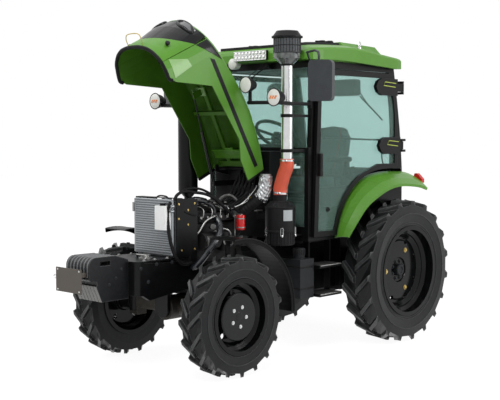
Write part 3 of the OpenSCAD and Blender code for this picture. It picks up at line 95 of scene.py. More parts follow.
def material(
    name, color, rough, spread, metal=0.0, scale=18.0, bump=0.0, bump_scale=120.0, coat=0.0, edge=0.0,
    shine=0.5, edge_width=0.004,
):
    """A painted, moulded or cast surface: two near tones mixed by noise, uneven gloss, a fine bump, and edges
    that are rounded, with a paler tone painted on them as a highlight."""
    mat, tree, shader = blank(name)
    put(shader, {"Metallic": metal, "Specular IOR Level": shine, "Coat Weight": coat, "Coat Roughness": 0.08})
    place = make(tree, "TexCoord", {}, {}).outputs["Object"]
    noise = make(tree, "TexNoise", {"Scale": scale, "Detail": 5.0}, {"Vector": place}).outputs["Fac"]
    tones = make(tree, "ValToRGB", {}, {"Fac": noise})
    tones.color_ramp.elements[0].position = 0.3
    tones.color_ramp.elements[1].position = 0.7
    tones.color_ramp.elements[0].color = [c * (1 - spread) for c in color] + [1]
    tones.color_ramp.elements[1].color = [min(1, c * (1 + spread)) for c in color] + [1]
    duller, glossier = min(1.0, rough + 0.06), max(0.02, rough - 0.06)
    gloss = make(tree, "MapRange", {"To Min": glossier, "To Max": duller}, {"Value": noise})
    tree.links.new(gloss.outputs["Result"], shader.inputs["Roughness"])
    tone = tones.outputs["Color"]
    normal = None
    if edge:
        soft = make(tree, "Bevel", {"Radius": edge_width}, {})
        soft.samples = 4
        normal = soft.outputs["Normal"]
        face = make(tree, "NewGeometry", {}, {}).outputs["Normal"]
        turn = make(tree, "VectorMath", {}, {0: normal, 1: face})
        turn.operation = "DOT_PRODUCT"
        painted_highlight = make(tree, "MapRange", {"From Min": 0.995, "From Max": 0.85, "To Max": edge}, {
            "Value": turn.outputs["Value"],
        })
        # the paler tone on rounded edges is a painted highlight, as strong as edge
        edge_highlight = make(tree, "Mix", {}, {})
        edge_highlight.data_type = "RGBA"
        put(edge_highlight, {"B": [min(1, 0.06 + 2.6 * c) for c in color] + [1]})
        tree.links.new(painted_highlight.outputs["Result"], edge_highlight.inputs["Factor"])
        tree.links.new(tone, edge_highlight.inputs["A"])
        tone = edge_highlight.outputs["Result"]
    tree.links.new(tone, shader.inputs["Base Color"])
    if bump:
        grain = make(tree, "TexNoise", {"Scale": bump_scale, "Detail": 3.0}, {"Vector": place}).outputs["Fac"]
        relief = make(tree, "Bump", {"Strength": bump, "Distance": 0.002}, {"Height": grain})
        if normal:
            tree.links.new(normal, relief.inputs["Normal"])
        normal = relief.outputs["Normal"]
    if normal:
        tree.links.new(normal, shader.inputs["Normal"])
    return mat


def glass(name, color):
    """Tinted glass, clear and faintly uneven, under a pale film."""
    mat, tree, shader = blank(name)
    put(shader, {"Roughness": 0.0, "Transmission Weight": 1.0, "IOR": 1.2})
    place = make(tree, "TexCoord", {}, {}).outputs["Object"]
    noise = make(tree, "TexNoise", {"Scale": 2.0}, {"Vector": place}).outputs["Fac"]
    tones = make(tree, "ValToRGB", {}, {"Fac": noise})
    tones.color_ramp.elements[0].color = [c * 0.97 for c in color] + [1]
    tones.color_ramp.elements[1].color = [min(1, c * 1.03) for c in color] + [1]
    tree.links.new(tones.outputs["Color"], shader.inputs["Base Color"])
    film = make(tree, "BsdfDiffuse", {"Color": (0.36, 0.56, 0.48, 1)}, {})
    mix = make(tree, "MixShader", {"Fac": 0.13}, {1: shader.outputs[0], 2: film.outputs[0]})
    tree.links.new(mix.outputs[0], tree.nodes["Material Output"].inputs["Surface"])
    return mat


# Finishes: a name, a colour, roughness and spread of tones, then what differs from the usual; edge sets how
# strong the paler tone painted on rounded edges as a highlight is
GREEN = material("green paint", (0.09, 0.265, 0.022), 0.38, 0.04, scale=6, coat=0.05, edge=0.15, shine=0.28)
INSIDE = material("hood inside", (0.05, 0.15, 0.008), 0.5, 0.1, scale=9, edge=0.3, shine=0.25)
# pale green, also used for the nose's pale patch, which is a painted highlight
PALE_GREEN = material("pale green paint and painted highlight", (0.24, 0.44, 0.15), 0.35, 0.05, edge=0.2)
BLACK = material("black paint", (0.005, 0.0052, 0.0058), 0.32, 0.2, bump=0.05, edge=0.4, shine=0.16)
GLOSS = material("gloss black", (0.006, 0.0065, 0.0075), 0.2, 0.15, edge=0.3, shine=0.24)
CAB_BLACK = material("cab black", (0.005, 0.005, 0.0055), 0.36, 0.2, bump=0.04, edge=0.4, shine=0.16)
PLASTIC = material(
    "black plastic", (0.007, 0.007, 0.008), 0.46, 0.2, bump=0.12, bump_scale=260, edge=0.3, shine=0.16,
)
RUBBER = material("rubber seal", (0.006, 0.006, 0.0065), 0.55, 0.2, bump=0.1, bump_scale=220, shine=0.14)
HOSE = material("coolant hose", (0.01, 0.012, 0.016), 0.24, 0.2, bump=0.1, bump_scale=120, shine=0.6)
GREY = material("grey paint", (0.014, 0.0155, 0.017), 0.46, 0.15, bump=0.1, edge=0.4, shine=0.2)
IRON = material(
    "cast weight", (0.009, 0.0095, 0.011), 0.34, 0.25, scale=40, bump=0.35, bump_scale=110, edge=0.9,
    shine=0.25, edge_width=0.008,
)
CAST = material(
    "cast iron", (0.011, 0.0108, 0.0105), 0.55, 0.25, scale=30, bump=0.3, bump_scale=90, edge=0.5, shine=0.2,
)
TYRE = material(
    "tyre rubber", (0.009, 0.0095, 0.0103), 0.34, 0.25, scale=14, bump=0.2, bump_scale=200, edge=0.8,
    shine=0.2, edge_width=0.01,
)
# paler lug faces: a painted highlight on the tread
TREAD_HIGHLIGHT = material(
    "worn tread", (0.028, 0.029, 0.03), 0.34, 0.3, scale=30, bump=0.2, bump_scale=160, edge=0.8, shine=0.4,
    edge_width=0.008,
)
RIM = material("rim black", (0.0035, 0.0038, 0.0042), 0.13, 0.15, edge=0.3, shine=0.18)
GUARD = material("guard black", (0.0022, 0.0023, 0.0025), 0.36, 0.2, bump=0.06, edge=0.5, shine=0.09)
STEEL = material("steel", (0.62, 0.63, 0.63), 0.25, 0.06, metal=1.0)
DULL_STEEL = material("dull steel", (0.33, 0.33, 0.32), 0.42, 0.12, metal=1.0)
ALUMINIUM = material("aluminium", (0.31, 0.33, 0.345), 0.42, 0.05, metal=0.7)
FINS = material("cooler fins", (0.17, 0.18, 0.19), 0.5, 0.3, metal=0.6, scale=160, bump=0.6, bump_scale=400)
FOIL = material("foil", (0.42, 0.43, 0.44), 0.42, 0.2, metal=0.9, bump=0.6, bump_scale=60)
GOLD = material("zinc plate", (0.55, 0.42, 0.16), 0.35, 0.12, metal=1.0)
WHITE = material("white plastic", (0.95, 0.96, 0.95), 0.45, 0.03, bump=0.03)
RED = material("red plastic", (0.6, 0.012, 0.012), 0.28, 0.06)
ORANGE = material("amber lens", (0.8, 0.22, 0.03), 0.2, 0.08, scale=40)
YELLOW = material("yellow wire", (0.55, 0.4, 0.06), 0.4, 0.1)
LIME = material("yellow-green paint", (0.5, 0.6, 0.08), 0.4, 0.05)
HOSE_RED = material("red hose", (0.66, 0.095, 0.045), 0.46, 0.06, bump=0.05)
CLOTH = material("seat cloth", (0.05, 0.072, 0.072), 0.9, 0.15, scale=60, bump=0.5, bump_scale=500)
STRIPE = material("seat stripe", (0.2, 0.035, 0.035), 0.9, 0.15, scale=60, bump=0.5, bump_scale=500)
SUPPORT = material(
    "axle support", (0.05, 0.045, 0.038), 0.55, 0.2, scale=30, bump=0.3, bump_scale=90, edge=0.5, shine=0.2,
)
DARK_LENS = material("smoked lens", (0.035, 0.038, 0.042), 0.1, 0.2, scale=30, coat=0.6)
LENS = material("lamp lens", (0.78, 0.78, 0.74), 0.18, 0.05, scale=40)
MIRROR = material("mirror glass", (0.8, 0.82, 0.84), 0.03, 0.02, metal=1.0)
BROWN = material("plate paint", (0.07, 0.058, 0.046), 0.5, 0.08, edge=0.3)
# pale grey on the weights' ridges: a painted highlight along their rounded tops
RIDGE_HIGHLIGHT = material("worn iron", (0.14, 0.145, 0.15), 0.3, 0.2, scale=40, bump=0.2)
# paler grey for the weights' low chamfers: a painted reflection of the pale floor
FLOOR_REFLECTION = material("iron painted reflection", (0.2, 0.2, 0.19), 0.5, 0.12, scale=60, bump=0.2, edge=0.5)
MOTOR = material("motor metal", (0.09, 0.09, 0.088), 0.4, 0.25, metal=0.6, scale=40, bump=0.2, edge=0.5)
SHELL = material(
    "mirror shell", (0.034, 0.038, 0.043), 0.42, 0.12, bump=0.1, bump_scale=200, edge=0.3, shine=0.3,
)
LABEL = material("blank label", (0.42, 0.45, 0.46), 0.4, 0.05, scale=60)
SMOKE_GREY = material("smoky bowl", (0.11, 0.12, 0.12), 0.16, 0.5, scale=24, coat=0.6)
MESH_GREY = material("dust mesh", (0.045, 0.05, 0.055), 0.5, 0.3, scale=90, bump=0.5, bump_scale=300)
GLASS = glass("tinted glass", (0.69, 0.86, 0.84))

BY_SLOT = {
    "paint_green": GREEN, "paint_dark": INSIDE, "paint_black": BLACK, "paint_grey": GREY, "cast": CAST,
    "tyre": TYRE, "steel": STEEL, "aluminium": ALUMINIUM, "plastic_black": PLASTIC, "plastic_white": WHITE,
    "plastic_red": RED, "hose_red": HOSE_RED, "seat_cloth": CLOTH, "glass": GLASS, "lamp": LENS,
}
BY_NODE = {
    "foil_duct": FOIL, "head_lamps": DARK_LENS, "front_axle": SUPPORT, "cab_frame": CAB_BLACK,
    "front_plate": BROWN, "front_weights": IRON, "hood_grille": GLOSS, "radiator": FINS, "mirrors": SHELL,
    "strut_tube": GLOSS, "strut_rod": GREY, "tie_rod": DULL_STEEL, "radiator_hoses": HOSE,
}
for side, _ in SIDES:
    BY_NODE["door_" + side] = CAB_BLACK
    BY_NODE["front_rim_" + side] = BY_NODE["rear_rim_" + side] = RIM
    BY_NODE["mudguard_" + side] = GUARD
SHARP = radians(32)


def shade(mesh):
    """Smooth shading that keeps edges sharper than SHARP."""
    mesh.polygons.foreach_set("use_smooth", [True] * len(mesh.polygons))
    mesh.set_sharp_from_angle(angle=SHARP)


for part in frame["record"]["subparts"]:
    mesh = NODES[part["node"]].data
    mesh.materials.clear()
    mesh.materials.append(BY_NODE.get(part["node"], BY_SLOT[part["material_slot"]]))


# Shapes, each added to a bmesh
def spline(points, steps=8):
    """A smooth path through points."""
    path = []
    last = len(points) - 1
    for i in range(last):
        p0, p1, p2, p3 = points[max(i - 1, 0)], points[i], points[i + 1], points[min(i + 2, last)]
        for k in range(steps):
            t = k / steps
            bend = 2 * p0 - 5 * p1 + 4 * p2 - p3
            twist = 3 * p1 - p0 - 3 * p2 + p3
            path.append(0.5 * (2 * p1 + (p2 - p0) * t + bend * t * t + twist * t ** 3))
    return path + [points[last]]


def ways(count, first=ACROSS, second=ASTERN):
    """Directions spaced evenly round a circle, from first towards second."""
    turns = [2 * pi * k / count for k in range(count)]
    return [cos(a) * first + sin(a) * second for a in turns]


def tube(bm, path, radius, sides, closed=False):
    """A round tube along a path, with one radius or one for each point."""
    count = len(path)
    radii = radius if isinstance(radius, list) else [radius] * count
    rings = []
    side = None
    for i, point in enumerate(path):
        before = path[i - 1] if i or closed else point
        after = path[(i + 1) % count] if i < count - 1 or closed else point
        along = (after - before).normalized()
        side = along.orthogonal() if side is None else side - along * side.dot(along)
        side.normalize()
        spokes = ways(sides, side, along.cross(side))
        rings.append([bm.verts.new(point + radii[i] * way) for way in spokes])
    pairs = list(zip(rings, rings[1:])) + ([(rings[-1], rings[0])] if closed else [])
    for a, b in pairs:
        for k in range(sides):
            m = (k + 1) % sides
            bm.faces.new((a[k], a[m], b[m], b[k]))
    if not closed:
        bm.faces.new(rings[0][::-1])
        bm.faces.new(rings[-1])


def ring(bm, middle, radius, thick, count=48, first=ACROSS, second=ASTERN):
    """A round bar bent into a circle."""
    tube(bm, [middle + radius * way for way in ways(count, first, second)], thick, 8, closed=True)


def lathe(bm, base, axis, profile, sides=24):
    """A turned solid: profile is (height along axis, radius) from one end of the axis to the other."""
    axis = Vector(axis).normalized()
    first = axis.orthogonal().normalized()
    spokes = ways(sides, first, axis.cross(first))
    rings = []
    for height, radius in profile:
        middle = base + axis * height
        if radius:
            rings.append([bm.verts.new(middle + radius * way) for way in spokes])
        else:
            rings.append([bm.verts.new(middle)])
    for a, b in zip(rings, rings[1:]):
        for k in range(sides):
            m = (k + 1) % sides
            corners = [a[k % len(a)], a[m % len(a)], b[m % len(b)], b[k % len(b)]]
            bm.faces.new(list(dict.fromkeys(corners)))


def disc(bm, base, axis, radius, height, soft=0.002, sides=24):
    """A round button with softened edges."""
    lathe(bm, base, axis, [
        (0, 0), (0, radius), (height - soft, radius), (height, radius - soft), (height, 0),
    ], sides)


def bolt(bm, base, axis, radius):
    """A hexagon head on a washer."""
    disc(bm, base, axis, 1.6 * radius, 0.3 * radius, 0.05 * radius, 16)
    lathe(bm, base, axis, [
        (0.25 * radius, 0), (0.25 * radius, radius), (0.95 * radius, radius), (1.1 * radius, 0.8 * radius),
        (1.1 * radius, 0),
    ], 6)


def brick(bm, low, high, soft, turn=None):
    """A box with rounded edges, turned by a matrix about its middle."""
    low, high = Vector(low), Vector(high)
    middle = 0.5 * (low + high)
    made = bmesh.ops.create_cube(bm, size=1)["verts"]
    size = high - low
    for v in made:
        place = Vector([a * b for a, b in zip(v.co, size)])
        v.co = middle + (turn @ place if turn else place)
    edges = list({e for v in made for e in v.link_edges})
    bmesh.ops.bevel(bm, geom=edges, offset=soft, segments=2, affect="EDGES", profile=0.5)


def slab(bm, outline, depth):
    """A flat plate: an outline of points, drawn out by the vector depth."""
    near = [bm.verts.new(p) for p in outline]
    far = [bm.verts.new(p + depth) for p in outline]
    faces = [bm.faces.new(near), bm.faces.new(far[::-1])]
    count = len(outline)
    for k in range(count):
        m = (k + 1) % count
        faces.append(bm.faces.new((near[m], near[k], far[k], far[m])))
    bmesh.ops.recalc_face_normals(bm, faces=faces)


def skin(bm, front, back):
    """A closed sheet between two grids of points."""
    rows, cols = len(front), len(front[0])
    f = [[bm.verts.new(p) for p in row] for row in front]
    b = [[bm.verts.new(p) for p in row] for row in back]
    faces = []
    for i in range(rows - 1):
        for j in range(cols - 1):
            faces.append(bm.faces.new((f[i][j], f[i + 1][j], f[i + 1][j + 1], f[i][j + 1])))
            faces.append(bm.faces.new((b[i][j], b[i][j + 1], b[i + 1][j + 1], b[i + 1][j])))
    rim = [(i, 0) for i in range(rows)] + [(rows - 1, j) for j in range(1, cols)]
    rim += [(i, cols - 1) for i in range(rows - 2, -1, -1)] + [(0, j) for j in range(cols - 2, 0, -1)]
    for (i, j), (k, m) in zip(rim, rim[1:] + rim[:1]):
        faces.append(bm.faces.new((f[i][j], b[i][j], b[k][m], f[k][m])))
    bmesh.ops.recalc_face_normals(bm, faces=faces)


def add(name, bm, mat, body="chassis"):
    """Makes the bmesh a piece that rides on a body, with the given finish."""
    mesh = bpy.data.meshes.new(name)
    bm.to_mesh(mesh)
    bm.free()
    shade(mesh)
    mesh.materials.append(mat)
    obj = bpy.data.objects.new(name, mesh)
    bpy.context.collection.objects.link(obj)
    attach(obj, body)
    return obj


SKINS = {}
SUNK = 0.0015  # how deep the back of a trim lies in the surface


def skin_of(*nodes):
    """The surface of some CAD nodes, for casting trim onto it."""
    if nodes not in SKINS:
        points, faces = [], []
        for node in nodes:
            mesh = NODES[node].data
            start = len(points)
            points += [v.co.copy() for v in mesh.vertices]
            faces += [[start + k for k in face.vertices] for face in mesh.polygons]
        SKINS[nodes] = BVHTree.FromPolygons(points, faces)
    return SKINS[nodes]


def cast(nodes, start, along, proud):
    """Where a ray meets the nodes' surface, raised by proud along the surface's normal."""
    spot, normal, _, _ = skin_of(*nodes).ray_cast(start, along)
    if spot is None:
        spot, normal, _, _ = skin_of(*nodes).find_nearest(start + along * 0.2)
    if normal.dot(along) > 0:
        normal = -normal
    return spot + normal * proud


def decal(bm, nodes, corners, toward, rows, cols, proud=0.0018):
    """A thin trim that follows the nodes' surface: four corners in order, cast along a direction."""
    front, back = [], []
    for i in range(rows + 1):
        top = [corners[0].lerp(corners[3], i / rows), corners[1].lerp(corners[2], i / rows)]
        spots = [top[0].lerp(top[1], j / cols) - toward for j in range(cols + 1)]
        front.append([cast(nodes, p, toward.normalized(), proud) for p in spots])
        back.append([cast(nodes, p, toward.normalized(), -SUNK) for p in spots])
    skin(bm, front, back)


def tint(node, mat, test):
    """Gives a second finish to those faces of a CAD node whose middle and normal pass a test."""
    mesh = NODES[node].data
    mesh.materials.append(mat)
    index = len(mesh.materials) - 1
    for face in mesh.polygons:
        if test(face.center - Vector((0, SHIFT, 0)), face.normal):
            face.material_index = index


# Wheels
FRONT_AXLE_Y = -1.92
FRONT_AXLE_Z = 0.444
REAR_AXLE_Z = 0.6025
FRONT_TREAD_HIGHLIGHT, REAR_TREAD_HIGHLIGHT = 0.423, 0.578  # radii beyond which the tread is painted paler as a highlight


def around(middle, radius, degrees):
    """A point on an upright circle round a wheel's middle."""
    a = radians(degrees)
    return middle + radius * Vector((0, cos(a), sin(a)))


def off_axle(p, y, z):
    """How far a point lies from an axle, both given from the rear axle."""
    return hypot(p.y - y, p.z - z)


def wheels():
    """Wheel bolts, hubs and hub caps, and the ribs of the tyres, with their tread painted paler as a
    highlight.
    """
    for side, s in SIDES:
        out = Vector((s, 0, 0))
        body = "front_wheel_" + side
        hub = at(s * 0.676, FRONT_AXLE_Y, FRONT_AXLE_Z)
        bm = bmesh.new()
        for k in range(5):
            bolt(bm, around(hub, 0.073, 65 + 72 * k), out, 0.009)
        add("front_hub_bolts_" + side, bm, STEEL, body)
        bm = bmesh.new()
        lathe(bm, hub, out, [
            (-0.012, 0), (-0.012, 0.176), (-0.006, 0.176), (0.0002, 0.168), (0.0002, 0.036), (0.002, 0.034),
            (0.003, 0.028), (0.003, 0),
        ], 64)
        lathe(bm, hub, out, [
            (-0.06, 0.126), (-0.06, 0.15), (-0.01, 0.17), (-0.01, 0.126), (-0.06, 0.126),
        ], 64)
        add("front_hub_cap_" + side, bm, GLOSS, body)

        for end, middle, radii in (
            ("front", at(s * 0.602, FRONT_AXLE_Y, FRONT_AXLE_Z), (0.272, 0.285, 0.345)),
            ("rear", at(s * 0.693, 0, REAR_AXLE_Z), (0.392, 0.408, 0.485)),
        ):
            tyre = (end + "_tyre_" + side,)
            bm = bmesh.new()
            for radius in radii:
                starts = [around(middle, radius, 5 * k) + out * 0.4 for k in range(72)]
                rib = [cast(tyre, start, -out, 0.0005) for start in starts]
                tube(bm, rib, 0.0045, 6, closed=True)
            add(end + "_tyre_ribs_" + side, bm, TYRE, end + "_wheel_" + side)
        # the tread's outer faces take the paler tone, a painted highlight
        tint("front_tyre_" + side, TREAD_HIGHLIGHT, lambda p, n: off_axle(p, FRONT_AXLE_Y, FRONT_AXLE_Z) > FRONT_TREAD_HIGHLIGHT)
        tint("rear_tyre_" + side, TREAD_HIGHLIGHT, lambda p, n: off_axle(p, 0, REAR_AXLE_Z) > REAR_TREAD_HIGHLIGHT)

        body = "rear_wheel_" + side
        axle = at(s * 0.713, 0, REAR_AXLE_Z)
        bm = bmesh.new()
        for k in range(3):
            bolt(bm, around(axle, 0.185, 60 + 120 * k), out, 0.013)
        add("rear_wheel_bolts_" + side, bm, GOLD, body)
        bm = bmesh.new()
        hub = axle - out * 0.014
        lathe(bm, hub, out, [
            (-0.002, 0), (-0.002, 0.052), (0.03, 0.05), (0.038, 0.044), (0.038, 0.03), (0.03, 0.026),
            (0.03, 0),
        ], 32)
        for k in range(8):
            bolt(bm, around(hub, 0.076, 22.5 + 45 * k), out, 0.011)
        add("rear_hub_" + side, bm, GREY, body)


# Hood: places are taken with the hood shut, from its hinge, and turned open
HINGE_Y, HINGE_Z = -1.31, 1.49
OPEN = radians(66)
OPEN_COS, OPEN_SIN = cos(OPEN), sin(OPEN)
HOOD = ("hood", "hood_nose")


def lifted(x, y, z):
    """A place on the shut hood, from its hinge, moved to the open hood."""
    return at(x, HINGE_Y + y * OPEN_COS + z * OPEN_SIN, HINGE_Z - y * OPEN_SIN + z * OPEN_COS)


def shut(point):
    """The shut place, from the hinge, of a point on the open hood."""
    y, z = point.y - SHIFT - HINGE_Y, point.z - HINGE_Z
    return Vector((point.x, y * OPEN_COS - z * OPEN_SIN, y * OPEN_SIN + z * OPEN_COS))


HOOD_UP = lifted(0, 0, 1) - lifted(0, 0, 0)
HOOD_ASTERN = lifted(0, 1, 0) - lifted(0, 0, 0)
HOOD_TURN = Matrix.Rotation(-OPEN, 3, "X")


def hood_side(bm, outline, s, cols, rows):
    """A trim on one side of the hood, from four (y, z) places on the shut hood."""
    corners = [lifted(s * 0.3, y, z) for y, z in outline]
    decal(bm, HOOD, corners, -s * 0.2 * ACROSS, rows, cols)


def hood_brick(bm, low, high):
    """A rounded box on the shut hood, turned open."""
    low, high = Vector(low), Vector(high)
    half = 0.5 * (high - low)
    middle = lifted(*(0.5 * (low + high)))
    brick(bm, middle - half, middle + half, 0.003, HOOD_TURN)


def outermost(points, centre):
    """The outer rim of points (x, a) round a centre, one for each direction, in order."""
    rim = {}
    for p, flat in points:
        key = round(atan2(flat[0] - centre[0], flat[1] - centre[1]), 1)
        reach = hypot(flat[0] - centre[0], flat[1] - centre[1])
        if key not in rim or reach > rim[key][0]:
            rim[key] = (reach, p)
    return [rim[key][1] for key in sorted(rim)]


def inward(p, n):
    """Whether a face of the open hood looks into it."""
    place = shut(p + Vector((0, SHIFT, 0)))
    ahead, up = n.y * OPEN_COS - n.z * OPEN_SIN, n.y * OPEN_SIN + n.z * OPEN_COS
    if place.y < -1.0:
        return place.x * n.x + (place.y + 0.9) * ahead + 0.2 * up < 0
    return place.x * n.x + (place.z + 0.35) * up < 0


def hood_trims():
    """Stripes, wedges, a pale patch painted as a highlight, lip, seal, latch, knobs, ribs, lamp backs and
    pods, hinge plate and strut bracket of the hood."""
    for node in HOOD:
        tint(node, INSIDE, inward)
    for side, s in SIDES:
        for name, mat, slot, cols, rows, outline in (
            ("stripe", PLASTIC, "plastic_black", 30, 3, [
                (-0.93, -0.088), (-0.012, 0.018), (-0.012, -0.022), (-0.955, -0.128),
            ]),
            ("wedge", GLOSS, "plastic_black", 14, 8, [
                (-1.088, -0.205), (-0.905, -0.018), (-0.906, -0.014), (-1.088, -0.075),
            ]),
            # a pale patch on each side of the nose: a painted highlight where the chin catches the light
            ("highlight_patch", PALE_GREEN, "paint_green", 8, 6, [
                (-1.088, -0.5), (-0.948, -0.512), (-0.968, -0.325), (-1.03, -0.338),
            ]),
        ):
            bm = bmesh.new()
            hood_side(bm, outline, s, cols, rows)
            add("hood_" + name + "_" + side, bm, mat, "hood")

    nose = [shut(v.co) for v in NODES["hood_nose"].data.vertices]
    low = min(p.z for p in nose)
    rim = outermost([(p, (p.x, -p.y)) for p in nose if p.z < low + 0.004], (0, 0.95))
    cheek = [(0.276, -0.95, low + 0.024), (0.276, -0.97, low), (0.269, -1.03, low), (0.261, -1.06, low)]
    rim = [Vector((-x, y, z)) for x, y, z in cheek] + rim + [Vector(p) for p in cheek[::-1]]
    path = spline([lifted(p.x * 0.985, p.y + 0.004, p.z - 0.004) for p in rim], 3)
    bm = bmesh.new()
    tube(bm, path, 0.0135, 10)
    add("hood_mouth_lip", bm, RUBBER, "hood")

    half = [(0.269, -0.124), (0.269, 0.03), (0.262, 0.066), (0.235, 0.088), (0.19, 0.097), (0.107, 0.101)]
    edge = [(-x, z) for x, z in half] + half[::-1]
    bm = bmesh.new()
    tube(bm, [lifted(x, 0.058, z) for x, z in edge], 0.014, 10)
    add("hood_rear_seal", bm, RUBBER, "hood")

    bm = bmesh.new()
    wire = [
        (0.07, -1.205, -0.53), (0.07, -1.235, -0.53), (0.075, -1.27, -0.527), (0.05, -1.305, -0.525),
        (-0.06, -1.305, -0.525), (-0.09, -1.27, -0.527), (-0.085, -1.235, -0.53), (-0.085, -1.205, -0.53),
    ]
    tube(bm, spline([lifted(*p) for p in wire], 4), 0.0035, 8)
    add("hood_latch_wire", bm, YELLOW, "hood")

    bm = bmesh.new()
    for x in (0.2, -0.2):
        start = lifted(x, -1.6, -0.42)
        spot, normal, _, _ = skin_of(*HOOD).ray_cast(start, HOOD_ASTERN)
        normal = -normal if normal.dot(HOOD_ASTERN) > 0 else normal
        lathe(bm, spot, normal, [
            (-0.004, 0), (-0.004, 0.01), (0.012, 0.01), (0.014, 0.018), (0.026, 0.017), (0.03, 0),
        ])
    add("hood_knobs", bm, PLASTIC, "hood")

    bm = bmesh.new()
    for x in (0.045, 0.11, -0.2):
        front, back = (-0.93, -0.02), (-0.16, 0.02)
        corners = [lifted(x, *front), lifted(x, *back), lifted(x + 0.02, *back), lifted(x + 0.02, *front)]
        decal(bm, ("hood",), corners, HOOD_UP * 0.12, 2, 20, 0.01)
    add("hood_inner_ribs", bm, INSIDE, "hood")

    bm = bmesh.new()
    for s in (1, -1):
        for x, y, r in ((0.12, -1.12, 0.045), (0.2, -1.06, 0.03)):
            lathe(bm, lifted(s * x, y, -0.17), lifted(0, 1, -0.25) - lifted(0, 0, 0), [
                (0, 0), (0, r), (0.05, r), (0.07, 0.7 * r), (0.09, 0.4 * r), (0.1, 0.35 * r), (0.1, 0),
            ])
        wire = [
            (s * 0.12, -1.03, -0.19), (s * 0.09, -0.97, -0.16), (s * 0.13, -0.92, -0.08),
            (s * 0.16, -0.85, -0.03),
        ]
        tube(bm, spline([lifted(*p) for p in wire]), 0.006, 8)
    add("head_lamp_backs", bm, PLASTIC, "hood")

    front = ("hood_grille", "head_lamps", "hood_nose")
    bm = bmesh.new()
    for s in (1, -1):
        loop = []
        for k in range(32):
            a = 2 * pi * k / 32
            x, z = 0.145 + 0.075 * cos(a), -0.15 + 0.042 * sin(a) - 0.019 * cos(a)
            loop.append(cast(front, lifted(s * x, -1.6, z), HOOD_ASTERN, 0.002))
        for _ in range(4):
            loop = [(loop[k - 1] + 2 * loop[k] + loop[(k + 1) % 32]) / 4 for k in range(32)]
        tube(bm, loop, 0.012, 10, closed=True)
    add("head_lamp_pods", bm, GLOSS, "hood")

    bm = bmesh.new()
    hood_brick(bm, (-0.2, -0.125, 0.05), (0.2, -0.05, 0.06))
    hood_brick(bm, (-0.2, -0.13, 0.03), (0.2, -0.122, 0.06))
    hood_brick(bm, (-0.05, -0.145, 0.044), (0.03, -0.12, 0.056))
    add("hood_hinge_plate", bm, GREEN, "hood")

    bm = bmesh.new()
    hood_brick(bm, (-0.135, -0.675, 0.012), (-0.046, -0.605, 0.026))
    hood_brick(bm, (-0.135, -0.675, -0.03), (-0.129, -0.605, 0.02))
    add("strut_bracket", bm, PALE_GREEN, "hood")


# Air intake
CLEANER_X, CLEANER_Y = 0.42, -1.19
PIPE_X, PIPE_Y = 0.478, -1.178
MESH_LOW, MESH_HIGH = 2.376, 2.489  # heights of the pre-cleaner's mesh


def band(bm, base, axis, radius, thick, height):
    """A flat strap round a pipe."""
    lathe(bm, base, axis, [
        (0, radius), (0, radius + thick), (height, radius + thick), (height, radius), (0, radius),
    ], 32)


def air_intake():
    """Straps, latches, ribs and mesh of the air cleaner, its hose, pipe and pre-cleaner."""
    def cleaner(z):
        return at(CLEANER_X, CLEANER_Y, z)

    def stack(z):
        return at(PIPE_X, PIPE_Y, z)

    def off_axis(p):
        return hypot(p.x - PIPE_X, p.y - PIPE_Y)

    tint("intake_pipe", BLACK, lambda p, n: off_axis(p) > 0.0472)  # its thicker parts
    tint("pre_cleaner", SMOKE_GREY, lambda p, n: p.z < MESH_LOW)
    tint("pre_cleaner", MESH_GREY, lambda p, n: MESH_LOW < p.z < MESH_HIGH)

    bm = bmesh.new()
    band(bm, cleaner(1.288), (0.1, 0.03, 1), 0.0535, 0.003, 0.014)
    band(bm, stack(1.54), UP, 0.0535, 0.003, 0.014)
    for x, y, z in ((CLEANER_X, CLEANER_Y, 1.295), (PIPE_X, PIPE_Y, 1.547)):
        brick(bm, at(x + 0.03, y - 0.062, z - 0.007), at(x + 0.048, y - 0.04, z + 0.007), 0.002)
    add("hose_clamps", bm, STEEL)

    bm = bmesh.new()
    for way in ways(26):
        foot = cleaner(0.9) + 0.112 * way
        tube(bm, [foot, foot + UP * 0.085], 0.0045, 6)
    for z, r in ((0.996, 0.119), (1.004, 0.119), (1.186, 0.1185)):
        ring(bm, cleaner(z), r, 0.004)
    for way in ways(18):
        tube(bm, [cleaner(1.195) + 0.108 * way, cleaner(1.228) + 0.068 * way], 0.004, 6)
    add("air_cleaner_ribs", bm, PLASTIC)

    bm = bmesh.new()
    for degrees in (-112, -42, 28, 118):
        a = radians(degrees)
        way = Vector((cos(a), sin(a), 0))
        across = Vector((-sin(a), cos(a), 0))
        low = cleaner(0.965) + 0.116 * way
        loop = [
            (-0.009, 0), (-0.009, 0.05), (-0.005, 0.064), (0.005, 0.064), (0.009, 0.05), (0.009, 0),
            (0, -0.006),
        ]
        tube(bm, [low + across * x + UP * z + way * 0.006 for x, z in loop], 0.0022, 6, closed=True)
        foot = low + way * 0.004
        brick(bm, foot - Vector((0.008, 0.008, 0.008)), foot + Vector((0.008, 0.008, 0.008)), 0.002)
    add("air_cleaner_latches", bm, STEEL)

    bm = bmesh.new()
    turns = [radians(-36 + 40 * k / 8) for k in range(9)]
    rows = [[at(CLEANER_X + r * cos(a), CLEANER_Y + r * sin(a), z) for a in turns]
            for r in (0.1192, 0.117) for z in (1.082, 1.166)]
    skin(bm, rows[:2], rows[2:])
    add("air_cleaner_label", bm, LABEL)

    bm = bmesh.new()
    for way in ways(28):
        foot = stack(2.38) + 0.1045 * way
        tube(bm, [foot, foot + UP * 0.105], 0.0022, 6)
    for z in (2.374, 2.43, 2.484):
        ring(bm, stack(z), 0.105, 0.003)
    lathe(bm, stack(2.538), UP, [(0, 0), (0, 0.084), (0.004, 0.08), (0.008, 0.05), (0.01, 0)])
    band(bm, stack(2.275), UP, 0.0445, 0.006, 0.02)
    add("pre_cleaner_mesh", bm, PLASTIC)


